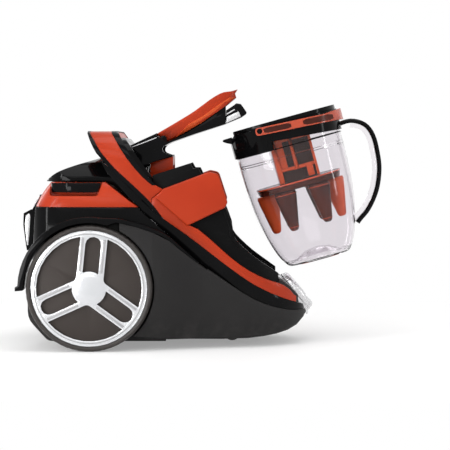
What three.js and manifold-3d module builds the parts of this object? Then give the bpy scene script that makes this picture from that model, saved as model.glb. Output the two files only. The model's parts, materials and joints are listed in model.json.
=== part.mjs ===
// Canister vacuum cleaner with a lift-out cyclonic dust cup, shown with its arm open and the cup drawn out.
// Millimetres, +X to the nose, +Z up, the floor at z = 0 and the rear wheel axis at x = 0.
import * as THREE from 'three';
import { mergeVertices } from 'three/addons/utils/BufferGeometryUtils.js';
import Module from 'manifold-3d';

const wasm = await Module();
wasm.setup();

// ---------------------------------------------------------------- driving dimensions
const seam = 0.4;               // gap left between two neighbouring mouldings
const wheelRadius = 95.5;       // over the tyre
const wheelWidth = 34;
const tyreDepth = 7.2;          // radial thickness of the tyre
const rimBand = 8.5;            // radial width of the bright rim ring
const rimThickness = 5;
const spokeWidth = 41;          // over one pair of spokes
const spokeSlot = 24;           // between the two spokes of a pair
const hubRadius = 24;
const axlePinRadius = 7;
const wellClearance = 3;        // tyre to wheel arch
const tubHalfWidth = 112;       // motor tub between the wheels
const wheelGap = 6;             // tub to the inner face of a wheel
const fenderInset = 2;          // outer edge of the fender lip inside the wheel's outer face
const waistInset = 6;           // outer face of the stripe, the lower band and the loop, inside the tub's
const tubTop = 99.5;
const trayHeight = 40;          // top of the front tray
const undersideHeight = 12;     // flat underside above the floor
const tubWall = 4;
const bandDepth = 10;           // depth of the side mouldings
const linerThickness = 8;       // side walls of the cup bay
const lipThickness = 6;         // fender lip
const panelThickness = 6;       // raised side panels
const loopThickness = 8;        // red skin of the carrying loop
const loopCoreThickness = 9;
const armHalfWidth = 60;
const armTipHalfWidth = 34;
const armWall = 7;
const leverHalfWidth = 30;
const leverLift = 3;            // degrees the release lever stands up when open
const pinRadius = 4;
const pinClearance = 0.3;
const castorRadius = 14;
const castorWidth = 16;
const castorTrail = 6;
const castorX = 222;
const castorPocketRadius = 27;
const castorStemRadius = 5;
const motorRadius = 50;
const motorLength = 84;
const motorZ = 82;
const cupTilt = 15.4;           // degrees the cup leans back
const cupTravel = 78;           // from the cup bay to the drawn-out place
const cupTravelRise = 20.7;     // degrees above level along which the cup leaves
const cupX = 355.3;             // centre of the cup's foot, drawn out
const cupZ = 132.6;
const jugWall = 2.6;
const jugTop = 199;
const collarTop = 222;
const collarWall = 3;
const lidTop = 229;
const lidChannelHalfWidth = 37; // trough in the lid that the arm's tip lies in
const lidChannelDepth = 9;
const inletBore = 20;           // radius of the hose inlet
const inletFlangeRadius = 40;
const inletTilt = 40;           // degrees above level that the hose inlet points
const inletCentre = [322, 82];
const pedalTravel = 4;
const pedalRecessFloor = 233.7;
const housingTop = 216.6;       // seam between the motor housing and the red shoulder
const shellWall = 4;            // walls of the housings
const bailPivot = [-41, 218.7]; // in the cup's own frame
const duct = { x0: 88, x1: 123.4, halfWidth: 50, height: 31.4 };
const armPivot = [45, 280];
const leverPivot = [108, 322];

// ---------------------------------------------------------------- small tools
const degrees = THREE.MathUtils.degToRad;

function solidOf(geometry) {
  const bare = geometry.index ? geometry.clone() : mergeVertices(geometry);
  bare.deleteAttribute('normal');
  bare.deleteAttribute('uv');
  const merged = mergeVertices(bare, 1e-4);
  return new wasm.Manifold(new wasm.Mesh({
    numProp: 3,
    vertProperties: new Float32Array(merged.attributes.position.array),
    triVerts: new Uint32Array(merged.index.array),
  }));
}

function geometryOf(solid) {
  const mesh = solid.getMesh();
  const geometry = new THREE.BufferGeometry();
  geometry.setAttribute('position', new THREE.BufferAttribute(new Float32Array(mesh.vertProperties), 3));
  geometry.setIndex(new THREE.BufferAttribute(new Uint32Array(mesh.triVerts), 1));
  geometry.computeVertexNormals();
  return geometry;
}

const join = (...solids) => solids.reduce((sum, solid) => sum.add(solid));
const cut = (solid, ...tools) => tools.reduce((rest, tool) => rest.subtract(tool), solid);
const common = (...solids) => solids.reduce((rest, solid) => rest.intersect(solid));

// A smooth open line through [a, b] points, as points.
function smooth(points, steps = 4 * (points.length - 1)) {
  const curve = new THREE.SplineCurve(points.map(([a, b]) => new THREE.Vector2(a, b)));
  return curve.getPoints(steps).map((point) => [point.x, point.y]);
}

// A smooth function through [x, value] points.
function through(points) {
  return (x) => {
    const last = points.length - 1;
    if (x <= points[0][0]) return points[0][1];
    if (x >= points[last][0]) return points[last][1];
    const i = points.findIndex((point) => point[0] > x) - 1;
    const slope = (k) => {
      const a = points[Math.max(k - 1, 0)];
      const b = points[Math.min(k + 1, last)];
      return (b[1] - a[1]) / (b[0] - a[0]);
    };
    const [x0, y0] = points[i];
    const [x1, y1] = points[i + 1];
    const w = x1 - x0;
    const t = (x - x0) / w;
    const h = t * t * (3 - 2 * t);
    return y0 + (y1 - y0) * h + w * t * (1 - t) * (slope(i) * (1 - t) - slope(i + 1) * t);
  };
}

// Corners of an outline [a, b, radius] rounded off by arcs.
function rounded(corners, steps = 3) {
  const points = [];
  corners.forEach(([a, b, radius = 0], i) => {
    const before = corners[(i + corners.length - 1) % corners.length];
    const after = corners[(i + 1) % corners.length];
    const p = new THREE.Vector2(a, b);
    const toBefore = new THREE.Vector2(before[0], before[1]).sub(p).normalize();
    const toAfter = new THREE.Vector2(after[0], after[1]).sub(p).normalize();
    const half = Math.acos(THREE.MathUtils.clamp(toBefore.dot(toAfter), -1, 1)) / 2;
    if (radius < 0.1 || half > 1.54) {
      points.push([a, b]);
      return;
    }
    const reach = radius / Math.tan(half);
    const centre = toBefore.clone().add(toAfter).normalize().multiplyScalar(radius / Math.sin(half)).add(p);
    const start = toBefore.multiplyScalar(reach).add(p).sub(centre);
    const end = toAfter.multiplyScalar(reach).add(p).sub(centre);
    const sweep = Math.atan2(start.cross(end), start.dot(end));
    for (let k = 0; k <= steps; k += 1) {
      const spoke = start.clone().rotateAround(new THREE.Vector2(), (sweep * k) / steps).add(centre);
      points.push([spoke.x, spoke.y]);
    }
  });
  return points;
}

const shapeOf = (points) => new THREE.Shape(points.map(([a, b]) => new THREE.Vector2(a, b)));

function prism(points, depth, edge = 0) {
  const geometry = new THREE.ExtrudeGeometry(shapeOf(points), {
    depth: depth - 2 * edge,
    bevelEnabled: edge > 0,
    bevelSize: edge,
    bevelThickness: edge,
    bevelOffset: -edge,
    bevelSegments: 1,
    curveSegments: 8,
  });
  return geometry.translate(0, 0, edge);
}

// A side outline of [x, z] points, extruded from y0 to y1; edge rounds both rims.
function slab(points, y0, y1, edge = 0) {
  return solidOf(prism(points, y1 - y0, edge).rotateX(Math.PI / 2).translate(0, y1, 0));
}

// A front outline of [y, z] points, extruded from x0 to x1.
function bar(points, x0, x1) {
  return solidOf(prism(points, x1 - x0).rotateY(Math.PI / 2).rotateX(Math.PI / 2).translate(x0, 0, 0));
}

// A plan outline of [x, y] points, extruded from z0 to z1.
function column(points, z0, z1, edge = 0) {
  return solidOf(prism(points, z1 - z0, edge).translate(0, 0, z0));
}

function box(x0, x1, y0, y1, z0, z1) {
  const geometry = new THREE.BoxGeometry(x1 - x0, y1 - y0, z1 - z0);
  return solidOf(geometry.translate((x0 + x1) / 2, (y0 + y1) / 2, (z0 + z1) / 2));
}

// A round bar along Y at [x, z].
function across(x, z, radius, y0, y1, segments = 24) {
  const geometry = new THREE.CylinderGeometry(radius, radius, y1 - y0, segments);
  return solidOf(geometry.translate(x, (y0 + y1) / 2, z));
}

// A round bar along Z at [x, y].
function upright(x, y, radius, z0, z1, segments = 24) {
  const geometry = new THREE.CylinderGeometry(radius, radius, z1 - z0, segments).rotateX(Math.PI / 2);
  return solidOf(geometry.translate(x, y, (z0 + z1) / 2));
}

// A closed profile of [radius, height] points turned about Z.
function turned(profile, segments) {
  const points = profile.map(([r, z]) => new THREE.Vector2(r, z));
  const geometry = new THREE.LatheGeometry(points, segments).rotateX(Math.PI / 2);
  const solid = solidOf(geometry);
  return solid.volume() > 0 ? solid : solidOf(flipped(geometry));
}

function flipped(geometry) {
  const turnedOver = mergeVertices(geometry);
  const index = turnedOver.index.array;
  for (let i = 0; i < index.length; i += 3) [index[i], index[i + 1]] = [index[i + 1], index[i]];
  return turnedOver;
}

// A closed skin over rings of equal count; the first and the last ring are capped at their middle.
function skin(rings) {
  const count = rings[0].length;
  const positions = rings.flat().flatMap((point) => [point.x, point.y, point.z]);
  const index = [];
  for (let i = 0; i + 1 < rings.length; i += 1) {
    for (let j = 0; j < count; j += 1) {
      const a = i * count + j;
      const b = i * count + ((j + 1) % count);
      index.push(a, b, a + count, b, b + count, a + count);
    }
  }
  [0, rings.length - 1].forEach((ringIndex) => {
    const middle = new THREE.Vector3();
    rings[ringIndex].forEach((point) => middle.addScaledVector(point, 1 / count));
    const centre = positions.length / 3;
    positions.push(middle.x, middle.y, middle.z);
    for (let j = 0; j < count; j += 1) {
      const a = ringIndex * count + j;
      const b = ringIndex * count + ((j + 1) % count);
      index.push(...(ringIndex === 0 ? [b, a, centre] : [a, b, centre]));
    }
  });
  const geometry = new THREE.BufferGeometry();
  geometry.setAttribute('position', new THREE.Float32BufferAttribute(positions, 3));
  geometry.setIndex(index);
  const solid = solidOf(geometry);
  return solid.volume() > 0 ? solid : solidOf(flipped(geometry));
}

// A side moulding between two lines of [x, z] points of equal count.
// outer and inner give its half width at a place of the side view.
function moulding(lower, upper, outer, inner, side, rows = 3) {
  const rings = lower.map((low, i) => {
    const high = upper[i];
    const at = (t) => [low[0] + (high[0] - low[0]) * t, low[1] + (high[1] - low[1]) * t];
    const ring = [];
    for (let row = 0; row <= rows; row += 1) {
      const [x, z] = at(row / rows);
      ring.push(new THREE.Vector3(x, side * outer(x, z), z));
    }
    for (let row = rows; row >= 0; row -= 1) {
      const [x, z] = at(row / rows);
      ring.push(new THREE.Vector3(x, side * inner(x, z), z));
    }
    return ring;
  });
  return skin(rings);
}

const root = new THREE.Group();

function finish(colour, roughness, metalness = 0, opacity = 1) {
  return () => new THREE.MeshStandardMaterial({
    color: colour, roughness, metalness, opacity, transparent: opacity < 1,
  });
}

const finishes = {
  gloss: finish(0x0b0b0d, 0.12),
  matte: finish(0x2a2829, 0.55),
  liner: finish(0x121213, 0.4),
  red: finish(0xcc4528, 0.3),
  clearRed: finish(0xa83a22, 0.2, 0, 0.75),
  smoked: finish(0x3c231e, 0.25, 0, 0.85),
  clear: finish(0xcfcbd2, 0.08, 0, 0.35),
  silver: finish(0xd4d6da, 0.22, 0.9),
  grey: finish(0xb4b4b6, 0.4),
  rubber: finish(0x3c3733, 0.7),
  panel: finish(0x403a37, 0.6),
  steel: finish(0x9a9a9c, 0.35, 1),
  felt: finish(0xe6e4dc, 0.95),
};

// Adds one named piece to the model.
function piece(name, solid, look, parent = root) {
  const mesh = new THREE.Mesh(geometryOf(solid), finishes[look]());
  mesh.name = name;
  parent.add(mesh);
  return mesh;
}

const sides = [['left', 1], ['right', -1]];

// ---------------------------------------------------------------- body lines in side view
const wellRadius = wheelRadius + wellClearance;
const wheelInner = tubHalfWidth + wheelGap;
const fenderFace = wheelInner + wheelWidth - fenderInset;
const waistHalfWidth = tubHalfWidth - waistInset;
const wheelTop = 2 * wheelRadius;
const beam = through([[60, 36], [95, 34], [130, 25], [165, 13], [200, 3], [235, -5], [265, -15],
  [290, -29], [310, -46], [326, -68], [336, -96]].map(([x, beyondTub]) => [x, tubHalfWidth + beyondTub]));
const waist = (x) => Math.min(waistHalfWidth, beam(x) - 3.5);
const linerFace = (x) => waist(x) - bandDepth;
const deckHalf = (x) => {
  const spread = THREE.MathUtils.clamp((150 - x) / 34, 0, 1);
  return linerFace(x) - seam + (tubHalfWidth - linerFace(x)) * spread;
};
const lipLine = smooth([[34, wheelTop + 11.6], [61, wheelTop + 6.5], [89, wheelTop - 2.3], [116, 176.5],
  [141, 155]], 12);
const glossLow = smooth([[116, 176.5], [141, 155], [166, 131.5], [192.7, 112.9], [219, 94.4], [245.6, 77.1],
  [272, 65.1], [298.5, 57.2], [318, 54.6], [334, 54]], 22);
const glossTop = smooth([[58.2, 247], [92.1, 213], [143.1, 176], [166.3, 158.5], [192.7, 138], [219.1,
  118.2],
  [245.5, 99.7], [272, 85.1], [298.5, 73.1], [318, 66], [334, 60]], 26);
const redTop = smooth([[143, 192], [166.2, 181], [192.6, 157.6], [219.1, 134.4], [245.6, 116.2], [272.1,
  103.2],
  [290, 97], [304, 88], [314, 76]], 18);
const bottomLine = [[40, 24], [68, 22.5], [116, 18.3], [172, 16.9], [220, 16.9], [262, 19.5], [290,
  23.5], [312, 30],
  [326, 40], [334, 50]];

const xOf = (line) => through(line.map(([x, z]) => [x, z]));
const shift = (line, dx, dz) => line.map(([x, z]) => [x + dx, z + dz]);
const stations = (x0, x1, count) => Array.from({ length: count + 1 }, (_, i) => (
  x0 + (x1 - x0) * Math.sin((Math.PI / 2) * (i / count))));

const tuck = (z) => 12 * Math.max(0, (45 - z) / 28) ** 2;
const shellOuter = (x, z) => Math.max(beam(x) - tuck(z), deckHalf(x) + 1.5);
const shellInner = (x) => deckHalf(x) + 2 * seam;
const waistOuter = (x) => waist(x);
const waistInner = (x) => linerFace(x) + seam / 2;

// ---------------------------------------------------------------- lower body
const chassis = new THREE.Group();
root.add(chassis);

function trayRing(x) {
  const half = deckHalf(x);
  const low = Math.max(undersideHeight, xOf(bottomLine)(x) - 5);
  const high = Math.max(trayHeight, low + 4);
  const corner = Math.min(10, half / 3);
  return rounded([[-half, low, corner], [half, low, corner], [half, high], [-half, high]], 3)
    .map(([y, z]) => new THREE.Vector3(x, y, z));
}

function chassisTub() {
  const tray = skin([-60, 117, 150, 200, 240, 265, 285, 303, 318, 330].map(trayRing));
  const tubOutline = [[-97, tubTop], [-97, 46, 30], [-66, undersideHeight, 14], [114, undersideHeight],
    [114, tubTop]];
  const tub = slab(rounded(tubOutline), -tubHalfWidth, tubHalfWidth);
  const hollowOutline = [[-97 + tubWall, tubTop + 1], [-97 + tubWall, 50, 26], [-62,
    undersideHeight + tubWall, 10],
    [114 - tubWall, undersideHeight + tubWall], [114 - tubWall, tubTop + 1]];
  const hollow = slab(rounded(hollowOutline), -tubHalfWidth + tubWall, tubHalfWidth - tubWall);
  const bosses = [-1, 1].map((side) => {
    const inner = side * (tubHalfWidth - 22);
    const outer = side * (tubHalfWidth - 1);
    return across(0, wheelRadius - 0.01, axlePinRadius + 6, Math.min(inner, outer), Math.max(inner, outer));
  });
  const motorSaddle = common(
    join(box(0, 6, -46, 46, undersideHeight + 1, motorZ), box(60, 66, -46, 46, undersideHeight + 1,
      motorZ)),
    cut(box(-10, 80, -50, 50, 0, motorZ - 20), alongX(motorZ, motorRadius + seam, -20, 90)),
  );
  const bores = [-1, 1].map((side) => {
    const inner = side * (tubHalfWidth - 18);
    const outer = side * (tubHalfWidth + 5);
    return across(0, wheelRadius, axlePinRadius + pinClearance, Math.min(inner, outer), Math.max(inner,
      outer));
  });
  const pocket = upright(castorX, 0, castorPocketRadius, undersideHeight - 6, trayHeight - 5.5);
  const stemHole = upright(castorX, 0, castorStemRadius + pinClearance, 10, trayHeight + 1);
  const trayCavity = slab([[104, undersideHeight + tubWall], [190, undersideHeight + tubWall],
    [190, trayHeight - tubWall], [104, trayHeight - tubWall]], -70, 70);
  const tubBosses = bosses.map((boss) => common(boss, box(-40, 40, -tubHalfWidth, tubHalfWidth, 40,
    tubTop)));
  return cut(join(tray, tub), trayCavity, hollow).add(join(...tubBosses, motorSaddle))
    .subtract(join(...bores, pocket, stemHole));
}

function alongX(z, radius, x0, x1, segments = 32) {
  const geometry = new THREE.CylinderGeometry(radius, radius, x1 - x0, segments).rotateZ(Math.PI / 2);
  return solidOf(geometry.translate((x0 + x1) / 2, 0, z));
}

piece('chassis', chassisTub(), 'matte', chassis);

// The round seat of the hose inlet, cut from everything at the nose.
function inletSeat() {
  return alongInlet(upright(0, 0, inletFlangeRadius + 1.5 * seam, -16.4, 60, 32));
}

function alongInlet(solid) {
  return solid.rotate([0, 90 - inletTilt, 0]).translate([inletCentre[0], 0, inletCentre[1]]);
}

function sideShell(side) {
  const xs = stations(46, 334, 18);
  const low = xs.map((x) => [x, xOf(bottomLine)(x)]);
  const topLine = [...lipLine.slice(0, -1), ...glossLow.slice(4)];
  const high = xs.map((x) => [x, Math.max(xOf(topLine)(x) - lipThickness * Math.min(1, Math.max(0,
    (160 - x) / 40))
    - seam, xOf(bottomLine)(x) + 1)]);
  const shell = moulding(low, high, shellOuter, shellInner, side, 4);
  const lip = slab(fenderOutline(), -200, 200);
  const tubSpace = box(0, 124, -tubHalfWidth - seam, tubHalfWidth + seam, 0, 300);
  return cut(shell, across(0, wheelRadius, wellRadius, -200, 200, 48), lip, lip.translate([0, 0, -seam]),
    tubSpace,
    inletSeat());
}

function stripe(side) {
  const xs = stations(76, 332, 20);
  const low = xs.map((x) => [x, x < 116 ? 212 - (x - 76) * 0.86 : xOf(glossLow)(x) + seam / 2]);
  const high = xs.map((x, i) => [x, Math.max(xOf(glossTop)(x) - seam / 2, low[i][1] + 1)]);
  const band = moulding(low, high, waistOuter, waistInner, side, 1);
  const pillarOutline = [[14, 288.5], [24, 270], [58.6, 230.6], [77, 213.6], [77, 230], [58.2, 246.5],
    [30.6, 274.6]];
  const pillar = slab(pillarOutline, side > 0 ? waistInner(20) : -waistOuter(20),
    side > 0 ? waistOuter(20) : -waistInner(20));
  return cut(join(band, pillar), inletSeat());
}

function redBand(side) {
  const xs = stations(110, 316, 18);
  const low = xs.map((x) => [x, xOf(glossTop)(x) + seam / 2]);
  const bandTop = [[110, 240], [126, 214], [143, 193], [166.2, 181], ...redTop.slice(4)];
  const high = xs.map((x) => [x, Math.max(xOf(bandTop)(x), xOf(glossTop)(x) + 1.5)]);
  const rear = slab([[109.6, 243], [92.6, 229.5], [93, 213.4], [110.1, 200.6], [110.1, 241]],
    side > 0 ? waistInner(100) : -waistOuter(100), side > 0 ? waistOuter(100) : -waistInner(100));
  return join(moulding(low, high, waistOuter, waistInner, side, 2), rear);
}

function sidePanel(side) {
  const outline = [[97.5, 231.5, 3], [109.5, 244.6, 4], [180, 271, 9], [194.5, 268, 9], [208.8, 224, 7],
    [204, 215.6, 6], [147, 188.4, 3]];
  const face = waistHalfWidth + seam;
  const near = side > 0 ? face : -face - panelThickness;
  return slab(rounded(outline, 4), near, near + panelThickness, 1.6);
}

function fenderOutline() {
  const outerArc = [];
  const lipGap = 3.6;
  const lipRadius = wheelRadius + lipGap + 9;
  for (let angle = 178; angle >= 80; angle -= 7) {
    outerArc.push([lipRadius * Math.cos(degrees(angle)),
      wheelRadius + lipRadius * Math.sin(degrees(angle))]);
  }
  const outer = [[-112, wheelRadius + 2], ...outerArc, ...lipLine.slice(1), ...glossLow.slice(5, 7)];
  const under = [...glossLow.slice(5, 7)].reverse().map(([x, z]) => [x - 0.6, z - 1])
    .concat(shift(lipLine, 0, -lipThickness).reverse().slice(1, -1));
  const innerArc = [];
  for (let angle = 74; angle <= 176; angle += 8.5) {
    const radius = wheelRadius + lipGap;
    innerArc.push([radius * Math.cos(degrees(angle)), wheelRadius + radius * Math.sin(degrees(angle))]);
  }
  return [...outer, ...under, ...innerArc, [-100, wheelRadius - 3], [-112, wheelRadius - 4]];
}

function fender(side) {
  const outline = fenderOutline();
  const y0 = tubHalfWidth + seam;
  const lip = slab(outline, side > 0 ? y0 : -fenderFace, side > 0 ? fenderFace : -y0);
  const plan = [[-130, side * (fenderFace - 4)], [-60, side * fenderFace], [50, side * fenderFace],
    ...[95, 130, 165].map((x) => [x, side * beam(x)]), [168, side * 100], [-130, side * 100]];
  const trimmed = common(lip, column(side > 0 ? plan : plan.reverse(), 0, 300));
  const waistSpace = box(113.5, 200, -waistHalfWidth - seam, waistHalfWidth + seam, 100, 300);
  return cut(trimmed, waistSpace, across(0, wheelRadius, wellRadius, -200, 200, 48));
}

for (const [name, side] of sides) {
  piece(`side_shell_${name}`, sideShell(side), 'matte', chassis);
  piece(`side_stripe_${name}`, stripe(side), 'gloss', chassis);
  piece(`side_band_${name}`, redBand(side), 'red', chassis);
  piece(`side_panel_${name}`, sidePanel(side), 'red', chassis);
  piece(`fender_${name}`, fender(side), 'gloss', chassis);
}

// ---------------------------------------------------------------- rear body
const pedalInner = 84;
const deckTop = housingTop + 45.4;
const ductBase = deckTop + 0.4;
const bayHalf = waistHalfWidth - bandDepth - 2 * seam;
const deckHalfWidth = bayHalf - linerThickness - 2 * seam;
const rearPlan = (grow, x0, x1) => rounded([[x0 - grow, -tubHalfWidth + 1 - grow, 46], [x1,
  -tubHalfWidth + 1 - grow],
  [x1, tubHalfWidth - 1 + grow], [x0 - grow, tubHalfWidth - 1 + grow, 46]], 6);

function rearHousing() {
  const outline = [[-96, tubTop + seam], [114, tubTop + seam], [114, 178], [75.4, housingTop - 5.2], [72,
    housingTop],
    [-87, housingTop]];
  const block = common(slab(outline, -tubHalfWidth, tubHalfWidth), column(rearPlan(0, -96, 120), 90, 230));
  const room = common(
    slab([[-96 + tubWall, tubTop - 9], [110, tubTop - 9], [110, 176], [72, housingTop + 3],
      [-87 + tubWall, housingTop + 3]], tubWall - tubHalfWidth, tubHalfWidth - tubWall),
    column(rearPlan(-tubWall, -96, 110), 90, 230),
  );
  const chimney = box(100, 125, tubWall - tubHalfWidth, tubHalfWidth - tubWall, 178, 230);
  return cut(block, room, chimney, across(0, wheelRadius, axlePinRadius + 2 * pinClearance, -200, 200));
}

function redShoulder() {
  const level = (z, x0, x1, half, corner) => rounded([[x0, -half, corner], [x1, -half], [x1, half], [x0,
    half, corner]], 6)
    .map(([x, y]) => new THREE.Vector3(x, y, z));
  const base = housingTop + seam;
  const block = skin([level(base, -89, 78, tubHalfWidth - 0.5, 46), level(232, -82, 60,
    tubHalfWidth - 2.5, 46),
    level(246, -73, 38, tubHalfWidth - 6, 46), level(254.6, -66, 24, tubHalfWidth - 11, 46)]);
  const front = slab([[73.2, base - 1], [56.4, 227.6], [31.4, 247.2], [20.2, 256], [140, 256], [140,
    base - 1]],
    -140, 140);
  const recess = (side) => {
    const outline = rounded([[-64.6, 260], [-64.6, pedalRecessFloor, 4], [10, pedalRecessFloor, 6], [19,
      260]]);
    return slab(outline, side > 0 ? pedalInner - pinClearance : -140,
      side > 0 ? 140 : pinClearance - pedalInner);
  };
  const room = skin([level(base - 1, -85, 67, tubHalfWidth - 0.5 - shellWall, 42),
    level(pedalRecessFloor - shellWall, -79, 49, tubHalfWidth - 2.5 - shellWall, 42)]);
  const roof = box(-60, 20, shellWall - pedalInner, pedalInner - shellWall,
    pedalRecessFloor - shellWall - 1, 250);
  return cut(block, front, recess(1), recess(-1), room, roof);
}

function pedal(side) {
  const low = pedalRecessFloor + pedalTravel + 1.5;
  const outline = rounded([[-63.6, 253.4, 2], [-63.6, low, 3], [9, low, 5], [15.4, 253.4, 2]]);
  const plan = rounded([[-63.6, 70], [17, 70], [17, tubHalfWidth - 8, 6], [-34, tubHalfWidth - 7.5, 24],
    [-63.6, tubHalfWidth - 24, 12]], 4)
    .map(([x, y]) => [x, side * y]);
  return common(
    slab(outline, side > 0 ? pedalInner : -120, side > 0 ? 120 : -pedalInner),
    column(side > 0 ? plan : plan.reverse(), 220, 270),
  );
}


function topCover() {
  const outline = [[-74.6, 255.4], ...smooth([[-73, 257], [-57, 268.2], [-36.4, 277.1], [-7, 286.4], [8,
    291]], 12),
    [14, 291], [24, deckTop + 4], [30, deckTop], [117.8, deckTop], [117.8, 218], [77, 218], [77, 213.4],
      [57.9, 229.6],
    [32.9, 249.4], [21.6, 255.2]];
  const front = rounded([[-deckHalfWidth, 200], [deckHalfWidth, 200], [deckHalfWidth, 262, 6], [72, 284,
    18],
    [34, 291.5, 60], [-34, 291.5, 60], [-72, 284, 18], [-deckHalfWidth, 262, 6]], 4);
  const rear = rounded([[-74.6, -deckHalfWidth, 44], [130, -deckHalfWidth], [130, deckHalfWidth],
    [-74.6, deckHalfWidth, 44]], 6);
  const cover = common(slab(outline, -deckHalfWidth, deckHalfWidth), bar(front, -80, 130), column(rear,
    200, 300));
  const ear = (side) => {
    const plate = slab(rounded([[29, 260], [61, 260], [56, 291, 10], [34, 291, 10]]), 0, 8)
      .translate([0, side > 0 ? armHalfWidth + 0.5 : -armHalfWidth - 8.5, 0]);
    return cut(plate, across(...armPivot, pinRadius + pinClearance, -100, 100));
  };
  const filterWell = box(84, 112, -46, 46, 205, deckTop + 1);
  const roomOutline = [[-66, 240], [-66, 257], [-54.5, 264.5], [-35, 273], [-7, 282], [6, 286], [9.8,
    286], [19.6, deckTop + 0.6],
    [27.6, deckTop - 4.4], [80, deckTop - 4.4], [80, 205], [-66, 205]];
  const roomFront = rounded([[4 - deckHalfWidth, 190], [deckHalfWidth - 4, 190], [deckHalfWidth - 4, 260,
    4],
    [69.5, 280.5, 16], [33, 287.4, 56], [-33, 287.4, 56], [-69.5, 280.5, 16], [4 - deckHalfWidth, 260,
      4]], 3);
  const roomPlan = rounded([[-66, 4 - deckHalfWidth, 40], [130, 4 - deckHalfWidth], [130,
    deckHalfWidth - 4],
    [-66, deckHalfWidth - 4, 40]], 4);
  const room = common(slab(roomOutline, -deckHalfWidth, deckHalfWidth), bar(roomFront, -80, 130),
    column(roomPlan, 200, 300));
  return join(cut(join(cut(cover, room), ear(1), ear(-1)), filterWell), ventGrille());
}

piece('rear_housing', rearHousing(), 'gloss', chassis);
piece('rear_shoulder', redShoulder(), 'red', chassis);
piece('top_cover', topCover(), 'gloss', chassis);

function rearGrille() {
  const outline = [[-86.4, 234], [-99.6, 211], [-111, 205], [-111.6, 187], [-106, 147], [-93.2, 147.6],
    [-90.4, 190], [-90.4, 219], [-84.6, 233.2]];
  const plate = common(slab(outline, -52, 52), bar(rounded([[-52, 140, 14], [52, 140, 14], [44, 236, 12],
    [-44, 236, 12]]), -120, -80));
  const slots = [];
  for (let row = 0; row < 5; row += 1) {
    const z = 158 + row * 9;
    slots.push(box(-120, -80, -38, 38, z, z + 4.2));
  }
  return cut(plate, box(-104, -80, -39.5, 39.5, 156, 200), ...slots);
}
piece('rear_grille', rearGrille(), 'gloss', chassis);

// ---------------------------------------------------------------- carrying loop
const loopTop = 333;

function archRing(half, top, thickness, corner, x0, x1) {
  const outer = rounded([[-half, 150], [half, 150], [half, top, corner], [-half, top, corner]], 5);
  const inner = rounded([[-half + thickness, 140], [half - thickness, 140],
    [half - thickness, top - thickness - 2, corner - thickness], [-half + thickness, top - thickness - 2,
      corner - thickness]], 5);
  return cut(bar(outer, x0, x1), bar(inner, x0 - 1, x1 + 1));
}

function loopCover() {
  const lower = smooth([[58.8, 247.6], [29.9, 275.6], [7.4, 300.8], [-1.4, 318], [-7, 330]], 10);
  const outline = [[92.6, 216.6], ...lower, [-4, 340], [30, 340], ...smooth([[40, 330], [52.7, 308],
    [75.2, 276],
    [97.8, 250.2]], 8), [109.2, 244.1], [92.1, 230]];
  const arch = archRing(waistHalfWidth, loopTop, loopThickness, 42, -40, 140);
  return common(slab(outline, -130, 130), arch);
}

function loopCore() {
  const outline = [[52, 262.4], [31, 281], [13, 303], [7, 318], [6, 335], [42, 335], [55, 316], [80,
    280], [93, 262.4]];
  const half = waistHalfWidth - loopThickness - seam;
  const arch = archRing(half, loopTop - loopThickness - 2 - seam, loopCoreThickness, 34, -40, 140);
  const ledge = box(-40, 140, -half - 1, half + 1, 262.4, 340);
  return common(slab(outline, -130, 130), arch, ledge);
}

piece('loop_cover', loopCover(), 'red', chassis);
piece('loop_core', loopCore(), 'gloss', chassis);

// ---------------------------------------------------------------- cup bay
const bayInner = bayHalf - linerThickness;
const bayOuter = (x) => Math.min(bayHalf, linerFace(x) - 2 * seam);

function bayWall(side) {
  const outline = [[93.6, 262.4], [93.6, 265.4], [151.5, 283.7], [155.8, 275.6], [164.3, 275.6], [168.6,
    266.7],
    ...smooth([[196, 241], [205.9, 214.2], [216, 187], [218, 172], [229.8, 157.5], [251.1, 138.6],
      [272.4, 123.5],
      [287.4, 113]], 14), [287.4, trayHeight + seam], [118.2, trayHeight + seam], [118.2, 176], [110, 200],
    [93.6, 240]];
  const xs = [90, 150, 225, 240, 255, 270, 280, 290];
  const sheet = moulding(xs.map((x) => [x, 30]), xs.map((x) => [x, 320]), bayOuter,
    (x) => bayOuter(x) - linerThickness,
    side, 1);
  return common(slab(outline, -200, 200), sheet);
}

// A plan outline over the stations xs, with the half width given as a function of x.
const planOf = (xs, half) => [...xs.map((x) => [x, -half(x)]), ...[...xs].reverse().map((x) => [x,
  half(x)])];

function bayBase() {
  const floorStart = [220, 89.6];
  const tilt = Math.tan(degrees(cupTilt));
  const floorZ = (x) => cupSeat.z + (x - cupSeat.x) * tilt - 1.1;
  const outline = [[118.2, 261], [125.4, 261], [126.5, 244], [floorStart[0], floorZ(floorStart[0])],
    [286, floorZ(286)], [286, trayHeight + seam], [118.2, trayHeight + seam]];
  const half = bayInner - seam;
  const block = slab(outline, -half, half);
  const trench = rounded([[-half - 10, 400], [-half + 1, 230, 30], [-59, 60, 24], [59, 60, 24],
    [half - 1, 230, 30],
    [half + 10, 400]], 3);
  const sidesOfBed = cut(slab([[150, trayHeight + seam], [286, trayHeight + seam], [286, floorZ(286) + 8],
    [240, 134], [214, 168], [150, 168]], -half, half), bar(trench.map(([y, z]) => [y, z + 28]), 100, 300));
  const xs = [100, 225, 240, 255, 270, 280, 290];
  const plan = (wall) => planOf(xs, (x) => bayOuter(x) - linerThickness - seam - wall);
  const roomOutline = [[110, 256], [121.4, 256], [122.5, 243], [216.4, floorZ(216.4) - 6], [256,
    floorZ(256) - 4.4],
    [256, trayHeight - 1], [110, trayHeight - 1]];
  const room = common(slab(roomOutline, -half + shellWall, half - shellWall), column(plan(shellWall), 0,
    400));
  return cut(common(join(block, sidesOfBed), column(plan(0), 0, 400)), room, inletSeat());
}

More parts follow.
